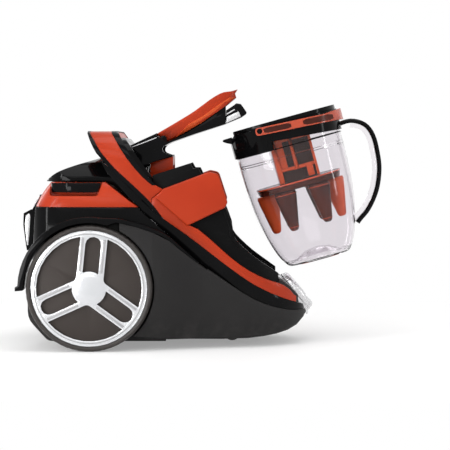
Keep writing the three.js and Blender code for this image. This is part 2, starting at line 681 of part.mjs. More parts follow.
const cupSeat = {
  x: cupX - cupTravel * Math.cos(degrees(cupTravelRise)),
  z: cupZ - cupTravel * Math.sin(degrees(cupTravelRise)),
};

for (const [name, side] of sides) piece(`bay_wall_${name}`, bayWall(side), 'liner', chassis);
piece('bay_base', bayBase(), 'liner', chassis);

// ---------------------------------------------------------------- air path above the motor
function filterDuct() {
  const outline = [[duct.x0, ductBase], [duct.x1, ductBase], [duct.x1, ductBase + duct.height],
    [duct.x0, ductBase + duct.height - 9.8]];
  const shell = slab(outline, -duct.halfWidth, duct.halfWidth);
  const mouth = box(duct.x0 + 4, duct.x1 + 5, -duct.halfWidth + 4, duct.halfWidth - 4, ductBase + 4,
    ductBase + duct.height - 13.8);
  const drop = box(duct.x0 + 4, 108, -40, 40, ductBase - 5, ductBase + 6);
  return cut(shell, mouth, drop);
}

function ventGrille() {
  const bars = [];
  for (let i = 0; i < 5; i += 1) {
    const x = 70 + i * 3.2;
    bars.push(slab([[x, deckTop - 1], [x + 1.6, deckTop - 1], [x + 3.4, deckTop + 15],
      [x + 1.8, deckTop + 15]], -44, 44));
  }
  return join(...bars);
}

function motorFilter() {
  return box(84.4, 111.6, -45.6, 45.6, 218.4, deckTop - 1.4);
}

piece('filter_duct', filterDuct(), 'red', chassis);
piece('motor_filter', motorFilter(), 'felt', chassis);

// ---------------------------------------------------------------- nose and hose inlet
function inletRing() {
  const profile = [[inletBore, -16], [inletFlangeRadius, -16], [inletFlangeRadius, -12], [35.6, -7.5],
    [34.4, -1], [30.5, 3.6], [25, 4], [inletBore, 0]];
  return alongInlet(turned([...profile, profile[0]], 24));
}

function noseBlock() {
  const outline = [[288, trayHeight + 2 * seam], [288, 104.2], [300, 96], [336, 60], [330, 50],
    [312, trayHeight + 2 * seam]];
  const plan = planOf([280, 290, 300, 312, 322, 331], (x) => Math.max(linerFace(x) - seam, 1));
  const block = common(slab(outline, -90, 90), column(plan, 0, 200));
  const bore = alongInlet(upright(0, 0, inletBore, -70, 1, 32));
  return cut(block, inletSeat(), common(bore, box(200, 400, -100, 100, trayHeight + 8, 200)));
}

piece('nose_block', noseBlock(), 'matte', chassis);
piece('hose_inlet', inletRing(), 'silver', chassis);

// ---------------------------------------------------------------- motor, fan, cord reel and outlet filter
const fanGroup = new THREE.Group();
root.add(fanGroup);
piece('motor_can', cut(alongX(motorZ, motorRadius, -10, -10 + motorLength, 20), alongX(motorZ, 6.4, -11,
  100, 12),
  alongX(motorZ, motorRadius - 3, -6, 42, 20), alongX(motorZ, motorRadius - 5, 46, 100, 20)), 'steel',
    chassis);
const fanX = 52;
function fan() {
  const blades = [];
  for (let i = 0; i < 8; i += 1) {
    const blade = box(fanX - 1, fanX + 12, -1, 1, 10, motorRadius - 8);
    blades.push(blade.rotate([45 * i, 0, 0]));
  }
  const hub = alongX(0, 14, fanX - 1, fanX + 12, 16);
  const plate = alongX(0, motorRadius - 7.5, fanX - 2, fanX, 20);
  const shaft = alongX(0, 6, -6, fanX + 6, 12);
  return join(hub, plate, shaft, ...blades).translate([0, 0, motorZ]);
}
piece('fan', fan(), 'grey', fanGroup);

const reelZ = 166;
const reelRadius = 76;
const reelX = -6;
const reel = new THREE.Group();
root.add(reel);
const reelProfile = [[8.4, -20], [reelRadius, -20], [reelRadius, -17.5], [34, -17.5], [34, 17.5],
  [reelRadius, 17.5],
  [reelRadius, 20], [8.4, 20], [8.4, -20]];
piece('cord_reel', turned(reelProfile, 20).translate([reelX, 0, reelZ]), 'grey', reel);

function reelFrame() {
  const plate = column(planOf([-87.6, 104], () => 40), reelZ - 26, reelZ - 22.5);
  const post = upright(reelX, 0, 8, reelZ - 23, reelZ + 26, 20);
  const legs = [[-40, -36], [98, -36], [-40, 36], [98, 36]].map(([x, y]) => upright(x, y, 4, 16.4,
    reelZ - 23, 8));
  return join(plate, post, ...legs);
}
piece('reel_frame', reelFrame(), 'matte', chassis);

function outletFilter() {
  const frame = box(-88.2, -71, -60, 60, 62, 139);
  const pleats = [];
  for (let i = 0; i < 8; i += 1) pleats.push(box(-77, -70, -55 + i * 14, -47 + i * 14, 66, 135));
  return cut(frame, ...pleats);
}
piece('outlet_filter', outletFilter(), 'felt', chassis);

// ---------------------------------------------------------------- pedals
for (const [name, side] of sides) {
  const group = new THREE.Group();
  root.add(group);
  piece(`${name === 'left' ? 'power' : 'cord'}_pedal`, pedal(side), 'gloss', group);
}

// ---------------------------------------------------------------- wheels
const hubBore = axlePinRadius + pinClearance;
const rimOuter = wheelRadius - tyreDepth - 0.3;
const rimInner = rimOuter - rimBand;
const faceDepth = 3;                      // bright rim set back from the tyre's outer face

function arcPoints(cx, cy, radius, from, to, steps) {
  return Array.from({ length: steps + 1 }, (_, i) => {
    const angle = degrees(from + ((to - from) * i) / steps);
    return [cx + radius * Math.cos(angle), cy + radius * Math.sin(angle)];
  });
}

const turn = (points, angle) => points.map(([a, b]) => {
  const c = Math.cos(degrees(angle));
  const s = Math.sin(degrees(angle));
  return [a * c - b * s, a * s + b * c];
});

function rimFace() {
  const disc = column(arcPoints(0, 0, rimOuter, 0, 351, 39), 0, rimThickness);
  const apex = spokeWidth / 2 / Math.sin(degrees(60));
  const fillet = 9;
  const filletX = apex + fillet / Math.sin(degrees(60));
  const edgeAt = (radius) => {
    const half = spokeWidth / 2;
    return degrees(60) - Math.asin(half / radius);
  };
  const outerAngle = THREE.MathUtils.radToDeg(edgeAt(rimInner));
  const windowOutline = [...arcPoints(0, 0, rimInner, -outerAngle, outerAngle, 8),
    ...arcPoints(filletX, 0, fillet, 150, 210, 4)];
  const slotHalf = spokeSlot / 2;
  const slotStart = THREE.MathUtils.radToDeg(Math.asin(slotHalf / (hubRadius + 2)));
  const slotOutline = [...arcPoints(0, 0, hubRadius + 2, slotStart, -slotStart, 4),
    ...arcPoints(rimInner - slotHalf - 1, 0, slotHalf, -90, 90, 6)];
  const holes = [84, 204, 324].flatMap((angle) => [
    column(turn(slotOutline, angle), -1, rimThickness + 1),
    column(turn(windowOutline, angle + 60), -1, rimThickness + 1),
  ]);
  return cut(disc, ...holes);
}

// Turns a solid modelled outward along +Z onto a wheel side.
function onSide(solid, side, start) {
  const mirrored = side > 0 ? solid.mirror([1, 0, 0]) : solid;
  const laid = mirrored.rotate([90, 0, side > 0 ? 180 : 0]);
  return laid.translate([0, side * start, wheelRadius]);
}

function tyre() {
  const inner = wheelRadius - tyreDepth;
  const profile = [[inner, 0], [wheelRadius - 4, 0], [wheelRadius, 4], [wheelRadius, wheelWidth - 4],
    [wheelRadius - 1.5, wheelWidth - 1.2], [wheelRadius - 4, wheelWidth], [inner, wheelWidth - 1],
      [inner, 0]];
  return turned(profile, 40);
}

function wheelBody() {
  const face = wheelWidth - faceDepth - rimThickness - 0.3;
  const profile = [[hubBore, 1], [16, 1], [16, face - 3.5], [rimOuter - 18, face - 3.5], [rimOuter - 10, 4],
    [rimOuter, 4], [rimOuter, face],
    [hubBore, face], [hubBore, 1]];
  return turned(profile, 24);
}

function hubCap() {
  const base = wheelWidth - faceDepth + 0.3;
  return turned([[0, base], [hubRadius, base], [hubRadius, base + 0.8], [hubRadius - 3, base + 1.6], [10,
    base + 2.4],
    [0, base + 2.6]], 20);
}

function axlePin() {
  return turned([[0, -17.6], [axlePinRadius, -17.6], [axlePinRadius, 22], [axlePinRadius - 1, 23], [0,
    23]], 16);
}

for (const [name, side] of sides) {
  const wheel = new THREE.Group();
  root.add(wheel);
  const rimStart = wheelInner + wheelWidth - faceDepth - rimThickness;
  piece(`tyre_${name}`, onSide(tyre(), side, wheelInner), 'rubber', wheel);
  piece(`wheel_${name}`, onSide(wheelBody(), side, wheelInner), 'panel', wheel);
  piece(`rim_${name}`, onSide(rimFace(), side, rimStart), 'silver', wheel);
  piece(`hub_cap_${name}`, onSide(hubCap(), side, wheelInner), 'silver', wheel);
  piece(`axle_${name}`, onSide(axlePin(), side, tubHalfWidth), 'steel', chassis);
}

// ---------------------------------------------------------------- front castor
const swivel = new THREE.Group();
root.add(swivel);
const castorWheel = new THREE.Group();
root.add(castorWheel);
const castorAxleX = castorX - castorTrail;

function castorFork() {
  const plate = upright(castorX, 0, castorPocketRadius - 2, 30.4, trayHeight - 5.9, 20);
  const stem = upright(castorX, 0, castorStemRadius, 34, trayHeight - 0.4, 12);
  const cheek = (y) => slab(rounded([[castorAxleX - 6, 8.4, 5], [castorAxleX + 6, 8.4, 5], [castorX + 12,
    31],
    [castorX - 18, 31]]), y, y + 3);
  const cheeks = join(cheek(castorWidth / 2 + 0.6), cheek(-castorWidth / 2 - 3.6));
  const pin = across(castorAxleX, castorRadius, 2.5, -castorWidth / 2 - 2, castorWidth / 2 + 2, 12);
  return join(plate, stem, cheeks, pin);
}
piece('castor_fork', castorFork(), 'matte', swivel);
const treadHalf = castorWidth / 2;
const treadProfile = [[2.5 + pinClearance, -treadHalf], [castorRadius - 1.4, -treadHalf], [castorRadius,
  1.4 - treadHalf],
  [castorRadius, treadHalf - 1.4], [castorRadius - 1.4, treadHalf], [2.5 + pinClearance, treadHalf],
  [2.5 + pinClearance, -treadHalf]];
piece('castor_wheel', turned(treadProfile, 20).rotate([90, 0, 0]).translate([castorAxleX, 0,
  castorRadius]), 'rubber',
  castorWheel);

// ---------------------------------------------------------------- arm over the cup
const arm = new THREE.Group();
root.add(arm);
const lever = new THREE.Group();
root.add(lever);
const catchGroup = new THREE.Group();
root.add(catchGroup);

const turnAbout = (points, [cx, cz], angle) => turn(points.map(([x, z]) => [x - cx, z - cz]), angle)
  .map(([x, z]) => [x + cx, z + cz]);

const leverUnder = [[113.5, 316.8], [124, 321.4], [170.6, 348.4], [205.8, 373.6]];
const armPlanHalf = through([[20, armHalfWidth], [112, armHalfWidth], [160, 44], [195,
  armTipHalfWidth + 0.6],
  [240, armTipHalfWidth]]);

const spineHalfWidth = leverHalfWidth - 6;
const leverPlanHalf = through([[95, leverHalfWidth], [150, leverHalfWidth], [190, leverHalfWidth - 2],
  [215, 22],
  [226, 12]]);
const leverStations = [95, 150, 170, 190, 204, 215, 226];

// The catch's tongue lies along the arm; grow widens it for its slot.
function catchTongue(grow) {
  return [[186 - grow, 343.6 - grow], [212, 353 - grow], [212, 359.6 + grow], [186 - grow, 350.2 + grow]];
}

function bridgeArm() {
  const rest = turnAbout(leverUnder, leverPivot, -leverLift).map(([x, z]) => [x, z - 0.6]);
  const tipTop = xOf(rest)(206);
  const nose = smooth([[124, 317.5], [114.4, 313.2], [108.8, 309], [107.2, 304.6], [109, 300.6], [114,
    298.2],
    [122, 295.4]], 14);
  const outline = [[34, 274], [34, 292], [40, 301], [47.6, 306.5], [72, 318], [98.7, 330.2], [97.8, 326.4],
    ...rest.slice(0, -1), [206, tipTop - 1.5], [206, 345], [158.9, 329.6], ...nose, [94.3, 286.3], [70,
      273],
    [58, 269]];
  const wedge = common(slab(outline, -armHalfWidth, armHalfWidth),
    column(planOf([20, 112, 128, 144, 160, 178, 195, 240], armPlanHalf), 200, 420));
  const spineTop = turnAbout([[116, 328.5], [128, 342.4], [156, 359], [182, 378], [197, 386]],
    leverPivot, -leverLift)
    .map(([x, z]) => [x, z - 1.5]);
  const spine = common(
    slab([[118, 317], ...spineTop, [206, 372], [206, 346], [158.9, 330.6]], -spineHalfWidth,
      spineHalfWidth),
    column(planOf(leverStations, (x) => leverPlanHalf(x) - shellWall - 1), 250, 420),
  );
  const hub = across(...armPivot, 13, -armHalfWidth, armHalfWidth, 20);
  const inside = armHalfWidth - armWall;
  const hollow = slab([[30, 240], [30, 288], [62, 302], [104, 311], [140, 311], [140, 240]], -inside,
    inside);
  const tongueSlot = slab(catchTongue(0.4), -12.4, 12.4);
  const tongue = box(26, 60, -inside - 1, inside + 1, 255, 266);
  const leverSeat = across(...leverPivot, pinRadius + 6, -leverHalfWidth - 1, leverHalfWidth + 1, 20);
  const body = cut(join(wedge, spine, hub), hollow, tongue, leverSeat, tongueSlot);
  const cheeks = [-1, 1].map((side) => {
    const near = side > 0 ? leverHalfWidth + 0.6 : -leverHalfWidth - 4.6;
    return slab(rounded([[103, 312], [113, 312], [113, 326.8, 4.6], [103, 326.8, 4.6]]), near, near + 4);
  });
  const leverPin = across(...leverPivot, 3, -leverHalfWidth - 3, leverHalfWidth + 3, 12);
  return cut(join(body, leverPin, ...cheeks), across(...armPivot, pinRadius + pinClearance, -100, 100, 16));
}

function releaseLever() {
  const top = smooth([[99.5, 331], [128, 347.6], [155.9, 364.8], [182, 384], [199.7, 394], [214, 396.5]],
    12);
  const outline = [[98.4, 326.8], ...top, [224.5, 399.8], [220.4, 393.4], [222.5, 386.8],
    ...[...leverUnder].reverse()];
  const crown = rounded([[-leverHalfWidth, 250], [leverHalfWidth, 250], [leverHalfWidth, 420],
    [-leverHalfWidth, 420]]);
  const blade = common(slab(outline, -leverHalfWidth, leverHalfWidth, 2.5),
    column(planOf(leverStations, leverPlanHalf), 250, 420), bar(crown, 90, 230));
  const room = spineHalfWidth + 1;
  const hollow = common(
    slab([[112, 326], [128, 343.6], [155.9, 360.6], [182, 379.6], [199.7, 389.4], [212, 391], [212, 372],
      [170, 330], [124, 312], [112, 312]], -room, room),
    column(planOf(leverStations, (x) => leverPlanHalf(x) - shellWall), 250, 420),
  );
  const knuckle = across(...leverPivot, 7, -leverHalfWidth + 3, leverHalfWidth - 3, 20);
  return cut(join(cut(blade, hollow), knuckle), across(leverPivot[0], leverPivot[1], 3 + pinClearance,
    -50, 50, 16));
}

function tipCatch() {
  const outline = [[206.3, 345.4], [206.3, 366.2], [218.6, 374.4], [222.4, 377.4, 2], [229.6, 376.4, 3],
    [239.8, 361.8, 3], [230.6, 355.4, 2]];
  const block = slab(rounded(outline, 3), -armTipHalfWidth + 1, armTipHalfWidth - 1, 1.2);
  return join(block, slab(catchTongue(0), -12, 12));
}

piece('bridge_arm', bridgeArm(), 'gloss', arm);
piece('arm_pin', across(...armPivot, pinRadius, -armHalfWidth - 8, armHalfWidth + 8, 16), 'steel', chassis);
piece('release_lever', releaseLever(), 'red', lever);
piece('tip_catch', tipCatch(), 'gloss', catchGroup);

// ---------------------------------------------------------- dust cup, its foot at z = 0 in its own frame
const cup = new THREE.Group();
root.add(cup);
cup.position.set(cupX, 0, cupZ);
cup.rotation.y = degrees(-cupTilt);
const bail = new THREE.Group();
root.add(bail);
bail.position.copy(cup.position);
bail.rotation.copy(cup.rotation);

const jugHalf = through([[0, 50], [5, 54.5], [22, 63.9], [53, 73.6], [91.5, 80.9], [125, 83.8], [156,
  85], [240, 85]]);
const cupDepthShare = 0.95;                   // half depth over half length of the round outline

function ring(half, z, count = 28) {
  return Array.from({ length: count }, (_, i) => {
    const angle = (2 * Math.PI * i) / count;
    const c = Math.cos(angle);
    const s = Math.sin(angle);
    const soft = (v) => Math.sign(v) * Math.abs(v) ** 0.86;
    return new THREE.Vector3(half * soft(c), half * cupDepthShare * soft(s), z);
  });
}

function roundColumn(half, z0, z1) {
  return skin([ring(half, z0), ring(half, z1)]);
}

const handlePath = [[83.4, 193], [104, 193.5], [122, 183], [129.5, 165], [129.6, 140], [125.5, 112],
  [113, 82],
  [94, 58], [76.5, 45], [66, 36]];

// A strap along the handle line, from a0 to a1 outward of it and half wide to each side.
function strap(a0, a1, half, trim) {
  const line = smooth(handlePath, 20).slice(trim, 21 - trim);
  const edge = (offset) => line.map(([x, z], i) => {
    const [xa, za] = line[Math.max(i - 1, 0)];
    const [xb, zb] = line[Math.min(i + 1, line.length - 1)];
    const length = Math.hypot(xb - xa, zb - za);
    return [x - ((zb - za) / length) * offset, z + ((xb - xa) / length) * offset];
  });
  return slab([...edge(a0), ...edge(a1).reverse()], -half, half);
}

function jug() {
  const heights = [0, 5, 22, 53, 91.5, 125, 156, jugTop];
  const floorZ = 3.4;
  const wall = [...heights.map((z) => ring(jugHalf(z), z)),
    ...[jugTop, 156, 125, 91.5, 53, 22, 7].map((z) => ring(jugHalf(z) - jugWall, z)),
    ring(jugHalf(0) - jugWall - 3, floorZ), ring(16, 11)];
  const grip = cut(strap(-7, -0.2, 7, 0), insideOfJug(0.6), roundColumn(collarHalf + 0.5, 184, 230));
  return join(skin(wall), grip);
}

function insideOfJug(inset) {
  return skin([0, 5, 22, 53, 91.5, 125, 156, 215].map((z) => ring(jugHalf(z) - inset, z)));
}

function handleGrip() {
  const band = strap(0.3, 7.6, 9.5, 0);
  return cut(band, insideOfJug(-0.5), roundColumn(collarHalf + 0.5, 180, 230));
}

const collarInner = jugHalf(jugTop) + 0.5;
const collarHalf = collarInner + collarWall;
const lidChannel = () => box(-120, -38, -lidChannelHalfWidth, lidChannelHalfWidth,
  lidTop - lidChannelDepth, 260);

function collar() {
  const plug = roundColumn(collarHalf, 186, collarTop);
  const socket = roundColumn(collarInner, 180, jugTop + 1);
  const skirtEdge = slab([[-27, 180], [-27, jugTop - 0.6], [96, 188], [96, 180]], -100, 100);
  const beakOutline = rounded([[-78, 210.8], [-86.4, 210.8, 4], [-95.6, 215.4, 3], [-100.6, 219.2, 1.4],
    [-98, 221.3, 1], [-78, 221.8]]);
  const beak = slab(beakOutline, -26, 26);
  const ears = [-1, 1].map((side) => {
    const outer = collarHalf * cupDepthShare + 6.5;
    return across(bailPivot[0], bailPivot[1], 4, side > 0 ? 60 : -outer, side > 0 ? outer : -60, 12);
  });
  const room = cut(roundColumn(74, 180, collarTop - 4.5), box(-34, 39, -35, 35, jugTop + 1, collarTop));
  return join(cut(plug, socket, skirtEdge, lidChannel(), room), cut(beak, roundColumn(collarHalf - 1.4,
    200, 240)),
    ...ears);
}

function lid() {
  const plate = roundColumn(collarHalf - 2, collarTop + 0.3, lidTop);
  return cut(plate, lidChannel(), across(bailPivot[0], bailPivot[1], 4 + pinClearance, -100, 100, 12));
}

function bailLever() {
  const outline = rounded([[-47.5, 212.6, 4], [-47.5, 224.4, 4], [62, 218.4], [96.5, 221, 5], [99.5,
    201.5, 4],
    [86, 204]], 3);
  const outer = roundColumn(collarHalf + 6.5, 190, 235);
  const inner = roundColumn(collarHalf + 1, 180, 240);
  const bow = cut(outer, inner, box(-120, 0, -120, 120, 180, 240));
  const face = collarHalf * cupDepthShare + 1;
  const arms = [-1, 1].map((side) => {
    const near = side > 0 ? face : -face - 5;
    return box(-50, 6, near, near + 5, 190, 235);
  });
  return cut(common(slab(outline, -100, 100), join(bow, ...arms)), across(bailPivot[0], bailPivot[1],
    4 + pinClearance, -120, 120, 16));
}

const cycloneFloor = 117;
const cyclonePlateTop = 129;
const coneRing = 54;

function cycloneColumn() {
  const block = column(rounded([[-30, -31, 8], [35, -31, 8], [35, 31, 8], [-30, 31, 8]], 3),
    cyclonePlateTop + 0.3,
    jugTop + 0.6);
  const windows = [-1, 1].flatMap((side) => [[-22, 0], [5, 28]].map(([x0, x1]) => (
    box(x0, x1, side > 0 ? 27 : -40, side > 0 ? 40 : -27, 153, 193))));
  const slots = [-1, 1].map((side) => box(-22, 28, side > 0 ? 29 : -40, side > 0 ? 40 : -29, 134, 147));
  return cut(block, ...windows, ...slots);
}

function cyclonePlate() {
  const disc = skin([ring(66, cycloneFloor), ring(69, cyclonePlateTop)]);
  return cut(disc, upright(0, 0, 15, cycloneFloor - 1, cycloneFloor + 7, 20));
}

function cone(angle) {
  const profile = [[0, 54], [5, 54.6], [7.5, 57.5], [12.6, 84], [17.6, 108], [17.6, cycloneFloor - 0.3],
    [0, cycloneFloor - 0.3]];
  return turned(profile, 14).translate([coneRing * Math.cos(degrees(angle)),
    coneRing * Math.sin(degrees(angle)), 0]);
}

piece('jug', jug(), 'clear', cup);
piece('jug_handle', handleGrip(), 'gloss', cup);
piece('cup_collar', collar(), 'gloss', cup);
piece('cup_lid', lid(), 'gloss', cup);
piece('cyclone_column', cycloneColumn(), 'clearRed', cup);
piece('cyclone_plate', cyclonePlate(), 'smoked', cup);
for (let i = 0; i < 6; i += 1) {
  piece(`cyclone_cone_${i + 1}`, cone(60 * i), i % 3 === 0 ? 'red' : 'smoked', cup);
}
piece('bail_lever', bailLever(), 'clearRed', bail);

// The origin goes to the middle of the footprint of the whole object, on the floor.
root.updateMatrixWorld(true);
const extent = new THREE.Box3().setFromObject(root, true);
root.position.set(-(extent.min.x + extent.max.x) / 2, 0, -extent.min.z);

export default root;
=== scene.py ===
"""Canister vacuum cleaner with its arm open and its dust cup drawn out: finishes, fine pieces, studio."""

import json
import math

import bmesh
import bpy
from mathutils import Matrix, Vector

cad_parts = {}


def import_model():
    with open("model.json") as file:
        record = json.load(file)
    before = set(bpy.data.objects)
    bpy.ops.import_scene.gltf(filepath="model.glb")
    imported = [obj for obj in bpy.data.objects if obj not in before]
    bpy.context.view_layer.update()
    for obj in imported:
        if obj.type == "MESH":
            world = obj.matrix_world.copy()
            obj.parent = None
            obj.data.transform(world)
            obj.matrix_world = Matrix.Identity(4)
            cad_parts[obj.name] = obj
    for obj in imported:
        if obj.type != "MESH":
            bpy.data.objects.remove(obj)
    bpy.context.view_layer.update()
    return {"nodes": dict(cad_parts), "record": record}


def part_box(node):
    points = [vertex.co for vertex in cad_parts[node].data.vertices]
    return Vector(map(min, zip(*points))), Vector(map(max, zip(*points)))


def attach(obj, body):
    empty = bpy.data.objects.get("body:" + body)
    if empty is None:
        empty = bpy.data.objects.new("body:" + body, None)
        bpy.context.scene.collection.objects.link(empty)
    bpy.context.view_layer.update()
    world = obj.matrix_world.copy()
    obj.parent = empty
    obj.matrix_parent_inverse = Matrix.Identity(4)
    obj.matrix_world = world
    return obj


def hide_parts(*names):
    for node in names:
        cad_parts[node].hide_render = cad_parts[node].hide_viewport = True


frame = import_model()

MM = 0.001
SCENE = bpy.context.scene
SIDES = (("left", 1), ("right", -1))      # name and direction along y


# ---------------------------------------------------------------- shader sums
class Signal:
    """A socket that takes part in sums; each sum adds its Math node."""

    def __init__(self, tree, socket):
        self.tree = tree
        self.socket = socket

    def worked(self, operation, *others, clamp=False):
        node = self.tree.nodes.new("ShaderNodeMath")
        node.operation = operation
        node.use_clamp = clamp
        for slot, value in zip(node.inputs, (self, *others)):
            join(self.tree, value, slot)
        return Signal(self.tree, node.outputs[0])

    def __add__(self, other):
        return self.worked("ADD", other)

    __radd__ = __add__

    def __sub__(self, other):
        return self.worked("SUBTRACT", other)

    def __rsub__(self, other):
        return (self * -1) + other

    def __mul__(self, other):
        return self.worked("MULTIPLY", other)

    __rmul__ = __mul__

    def ramp(self, low, high):
        """0 below low, 1 above high, straight between."""
        return (self - low).worked("MULTIPLY", 1 / (high - low), clamp=True)


def join(tree, value, slot):
    """Links a signal to a slot, or sets the slot to a plain value."""
    if isinstance(value, Signal):
        tree.links.new(value.socket, slot)
    else:
        slot.default_value = value


class Finish:
    """One material: a Principled shader, whose even values are set on it directly."""

    def __init__(self, name, colour, roughness, **even):
        self.material = bpy.data.materials.new(name)
        self.material.use_nodes = True
        self.tree = self.material.node_tree
        self.shader = self.tree.nodes["Principled BSDF"]
        self.colour = (*colour, 1)
        self.shader.inputs["Base Color"].default_value = self.colour
        self.shader.inputs["Roughness"].default_value = roughness
        for key, value in even.items():
            self.shader.inputs[key.replace("_", " ")].default_value = value
        self.place = self.node("ShaderNodeTexCoord", settings={"output": "Object"})

    def node(self, kind, settings=None, **sockets):
        """Adds a node; settings come first, then the values or links of its sockets."""
        node = self.tree.nodes.new(kind)
        settings = dict(settings or {})
        output = settings.pop("output", 0)
        for key, value in settings.items():
            setattr(node, key, value)
        for key, value in sockets.items():
            join(self.tree, value, node.inputs[key.replace("_", " ")])
        return Signal(self.tree, node.outputs[output])

    def stretched(self, x, y, z):
        return self.node("ShaderNodeMapping", Vector=self.place, Scale=(x, y, z))

    def noise(self, scale, detail, place=None, rough=0.5):
        return self.node("ShaderNodeTexNoise", Vector=place or self.place, Scale=scale, Detail=detail,
                         Roughness=rough)

    def axis(self, name):
        return self.node("ShaderNodeSeparateXYZ", settings={"output": name}, Vector=self.place)

    def ray(self, kind):
        """1 for rays of that kind, such as Is Camera Ray."""
        return self.node("ShaderNodeLightPath", settings={"output": kind})

    def tint(self, mask, colour):
        """Base Color goes towards colour where mask is 1."""
        mix = self.tree.nodes.new("ShaderNodeMix")
        mix.data_type = "RGBA"
        join(self.tree, mask, mix.inputs[0])
        join(self.tree, self.colour, mix.inputs[6])
        mix.inputs[7].default_value = (*colour, 1)
        self.colour = Signal(self.tree, mix.outputs[2])
        join(self.tree, self.colour, self.shader.inputs["Base Color"])

    def rough(self, signal):
        join(self.tree, signal, self.shader.inputs["Roughness"])

    def relief(self, height, distance, strength):
        bump = self.node("ShaderNodeBump", Strength=strength, Distance=distance, Height=height)
        join(self.tree, bump, self.shader.inputs["Normal"])

    def over(self, surface, share):
        """Mixes another shader over this one."""
        output = self.tree.nodes["Material Output"]
        mix = self.tree.nodes.new("ShaderNodeMixShader")
        join(self.tree, share, mix.inputs[0])
        self.tree.links.new(output.inputs[0].links[0].from_socket, mix.inputs[1])
        join(self.tree, surface, mix.inputs[2])
        self.tree.links.new(mix.outputs[0], output.inputs[0])


# ---------------------------------------------------------------- camera, light and floor
CAMERA_PLACE = (0.0335, -2.4, 0.304)
CAMERA_LENS = 120.24      # mm, on a 36 mm sensor
CAMERA_DIP = 2.857        # degrees that it looks down
SHOWN_WHITE = ("Is Camera Ray", "Is Transmission Ray", "Is Glossy Ray")
ROOM_LIGHT = 0.5          # strength of the even studio light
NEAR_LIFT = 0.3           # how far the floor is lifted to white beside the cleaner, where its shadow shows
LAMPS = (
    # name, place, aim, size, watts
    ("softbox_top", (0.1, -0.4, 2.2), (0, 0, 0.2), (2.0, 1.4), 23),
    ("softbox_front", (-0.4, -2.7, 1.7), (0, 0, 0.2), (1.4, 1.0), 9),
    ("strip_left", (-1.75, -1.25, 0.8), (0.12, 0, 0.3), (0.16, 1.6), 15),
    ("card_low", (-0.75, -0.9, 0.17), (0.1, -0.08, 0.29), (0.5, 0.3), 4.5),
    ("strip_right", (1.9, -0.7, 0.9), (0.1, 0, 0.3), (0.14, 1.5), 6),
    ("softbox_back", (0.6, 1.6, 1.6), (0, 0, 0.25), (1.6, 0.9), 8),
    ("strip_rear", (-1.5, 1.5, 0.75), (-0.1, 0, 0.2), (0.2, 1.3), 7),
)


def camera():
    """A far, nearly level view of the cleaner's right side."""
    data = bpy.data.cameras.new("camera")
    data.sensor_width = 36
    data.lens = CAMERA_LENS
    data.clip_end = 60
    view = bpy.data.objects.new("camera", data)
    view.location = CAMERA_PLACE
    view.rotation_euler = (math.radians(90 - CAMERA_DIP), 0, 0)
    SCENE.collection.objects.link(view)
    SCENE.camera = view


def lamp(name, place, aim, size, watts):
    """A soft panel lamp that the camera doesn't see."""
    data = bpy.data.lights.new(name, "AREA")
    data.shape = "RECTANGLE"
    data.size, data.size_y = size
    data.energy = watts
    holder = bpy.data.objects.new(name, data)
    holder.location = place
    holder.rotation_euler = (Vector(aim) - Vector(place)).to_track_quat("-Z", "Y").to_euler()
    holder.visible_camera = False
    SCENE.collection.objects.link(holder)


def even_light(tree, colour, strength):
    """The same light from all round."""
    light = tree.nodes.new("ShaderNodeBackground")
    light.inputs["Color"].default_value = (*colour, 1)
    light.inputs["Strength"].default_value = strength
    return light.outputs[0]


def world():
    """An even room for the light; the camera, clear plastic and gloss see plain white instead."""
    sky = bpy.data.worlds.new("studio")
    SCENE.world = sky
    sky.use_nodes = True
    tree = sky.node_tree
    tree.nodes.clear()
    output = tree.nodes.new("ShaderNodeOutputWorld")
    path = tree.nodes.new("ShaderNodeLightPath")
    shown, *others = [Signal(tree, path.outputs[ray]) for ray in SHOWN_WHITE]
    for other in others:
        shown = shown.worked("MAXIMUM", other)
    mix = tree.nodes.new("ShaderNodeMixShader")
    tree.links.new(shown.socket, mix.inputs[0])
    tree.links.new(even_light(tree, (1, 0.99, 0.98), ROOM_LIGHT), mix.inputs[1])
    tree.links.new(even_light(tree, (1, 1, 1), 1), mix.inputs[2])
    tree.links.new(mix.outputs[0], output.inputs["Surface"])


def floor():
    """A pale floor swept up into a backdrop; it keeps the cleaner's shadow and is plain white beyond."""
    near, far, wide, rise, bend, steps = -3.0, 2.6, 5.0, 4.0, 1.2, 12
    profile = [(near, 0), (far, 0)]
    for step in range(1, steps + 1):
        angle = math.radians(90 * step / steps)
        profile.append((far + bend * math.sin(angle), bend * (1 - math.cos(angle))))
    profile.append((far + bend, rise))
    points = [(x, y, z) for y, z in profile for x in (-wide, wide)]
    faces = [(2 * i, 2 * i + 1, 2 * i + 3, 2 * i + 2) for i in range(len(profile) - 1)]
    mesh = bpy.data.meshes.new("floor")
    mesh.from_pydata(points, [], faces)
    mesh.shade_smooth()
    sweep = bpy.data.objects.new("floor", mesh)
    SCENE.collection.objects.link(sweep)
    paint = Finish("studio_floor", (0.92, 0.92, 0.92), 0.9)
    white = paint.node("ShaderNodeEmission", Color=(1, 1, 1, 1), Strength=1.0)
    by_camera, through, by_gloss = [paint.ray(kind) for kind in SHOWN_WHITE]
    across = paint.axis("X").worked("ABSOLUTE")
    along = paint.axis("Y").worked("ABSOLUTE")
    beyond = across.ramp(0.3, 0.62).worked("MAXIMUM", along.ramp(0.22, 0.6))
    paint.over(white, (by_camera + through + by_gloss) * (NEAR_LIFT + beyond * (1 - NEAR_LIFT)))
    mesh.materials.append(paint.material)


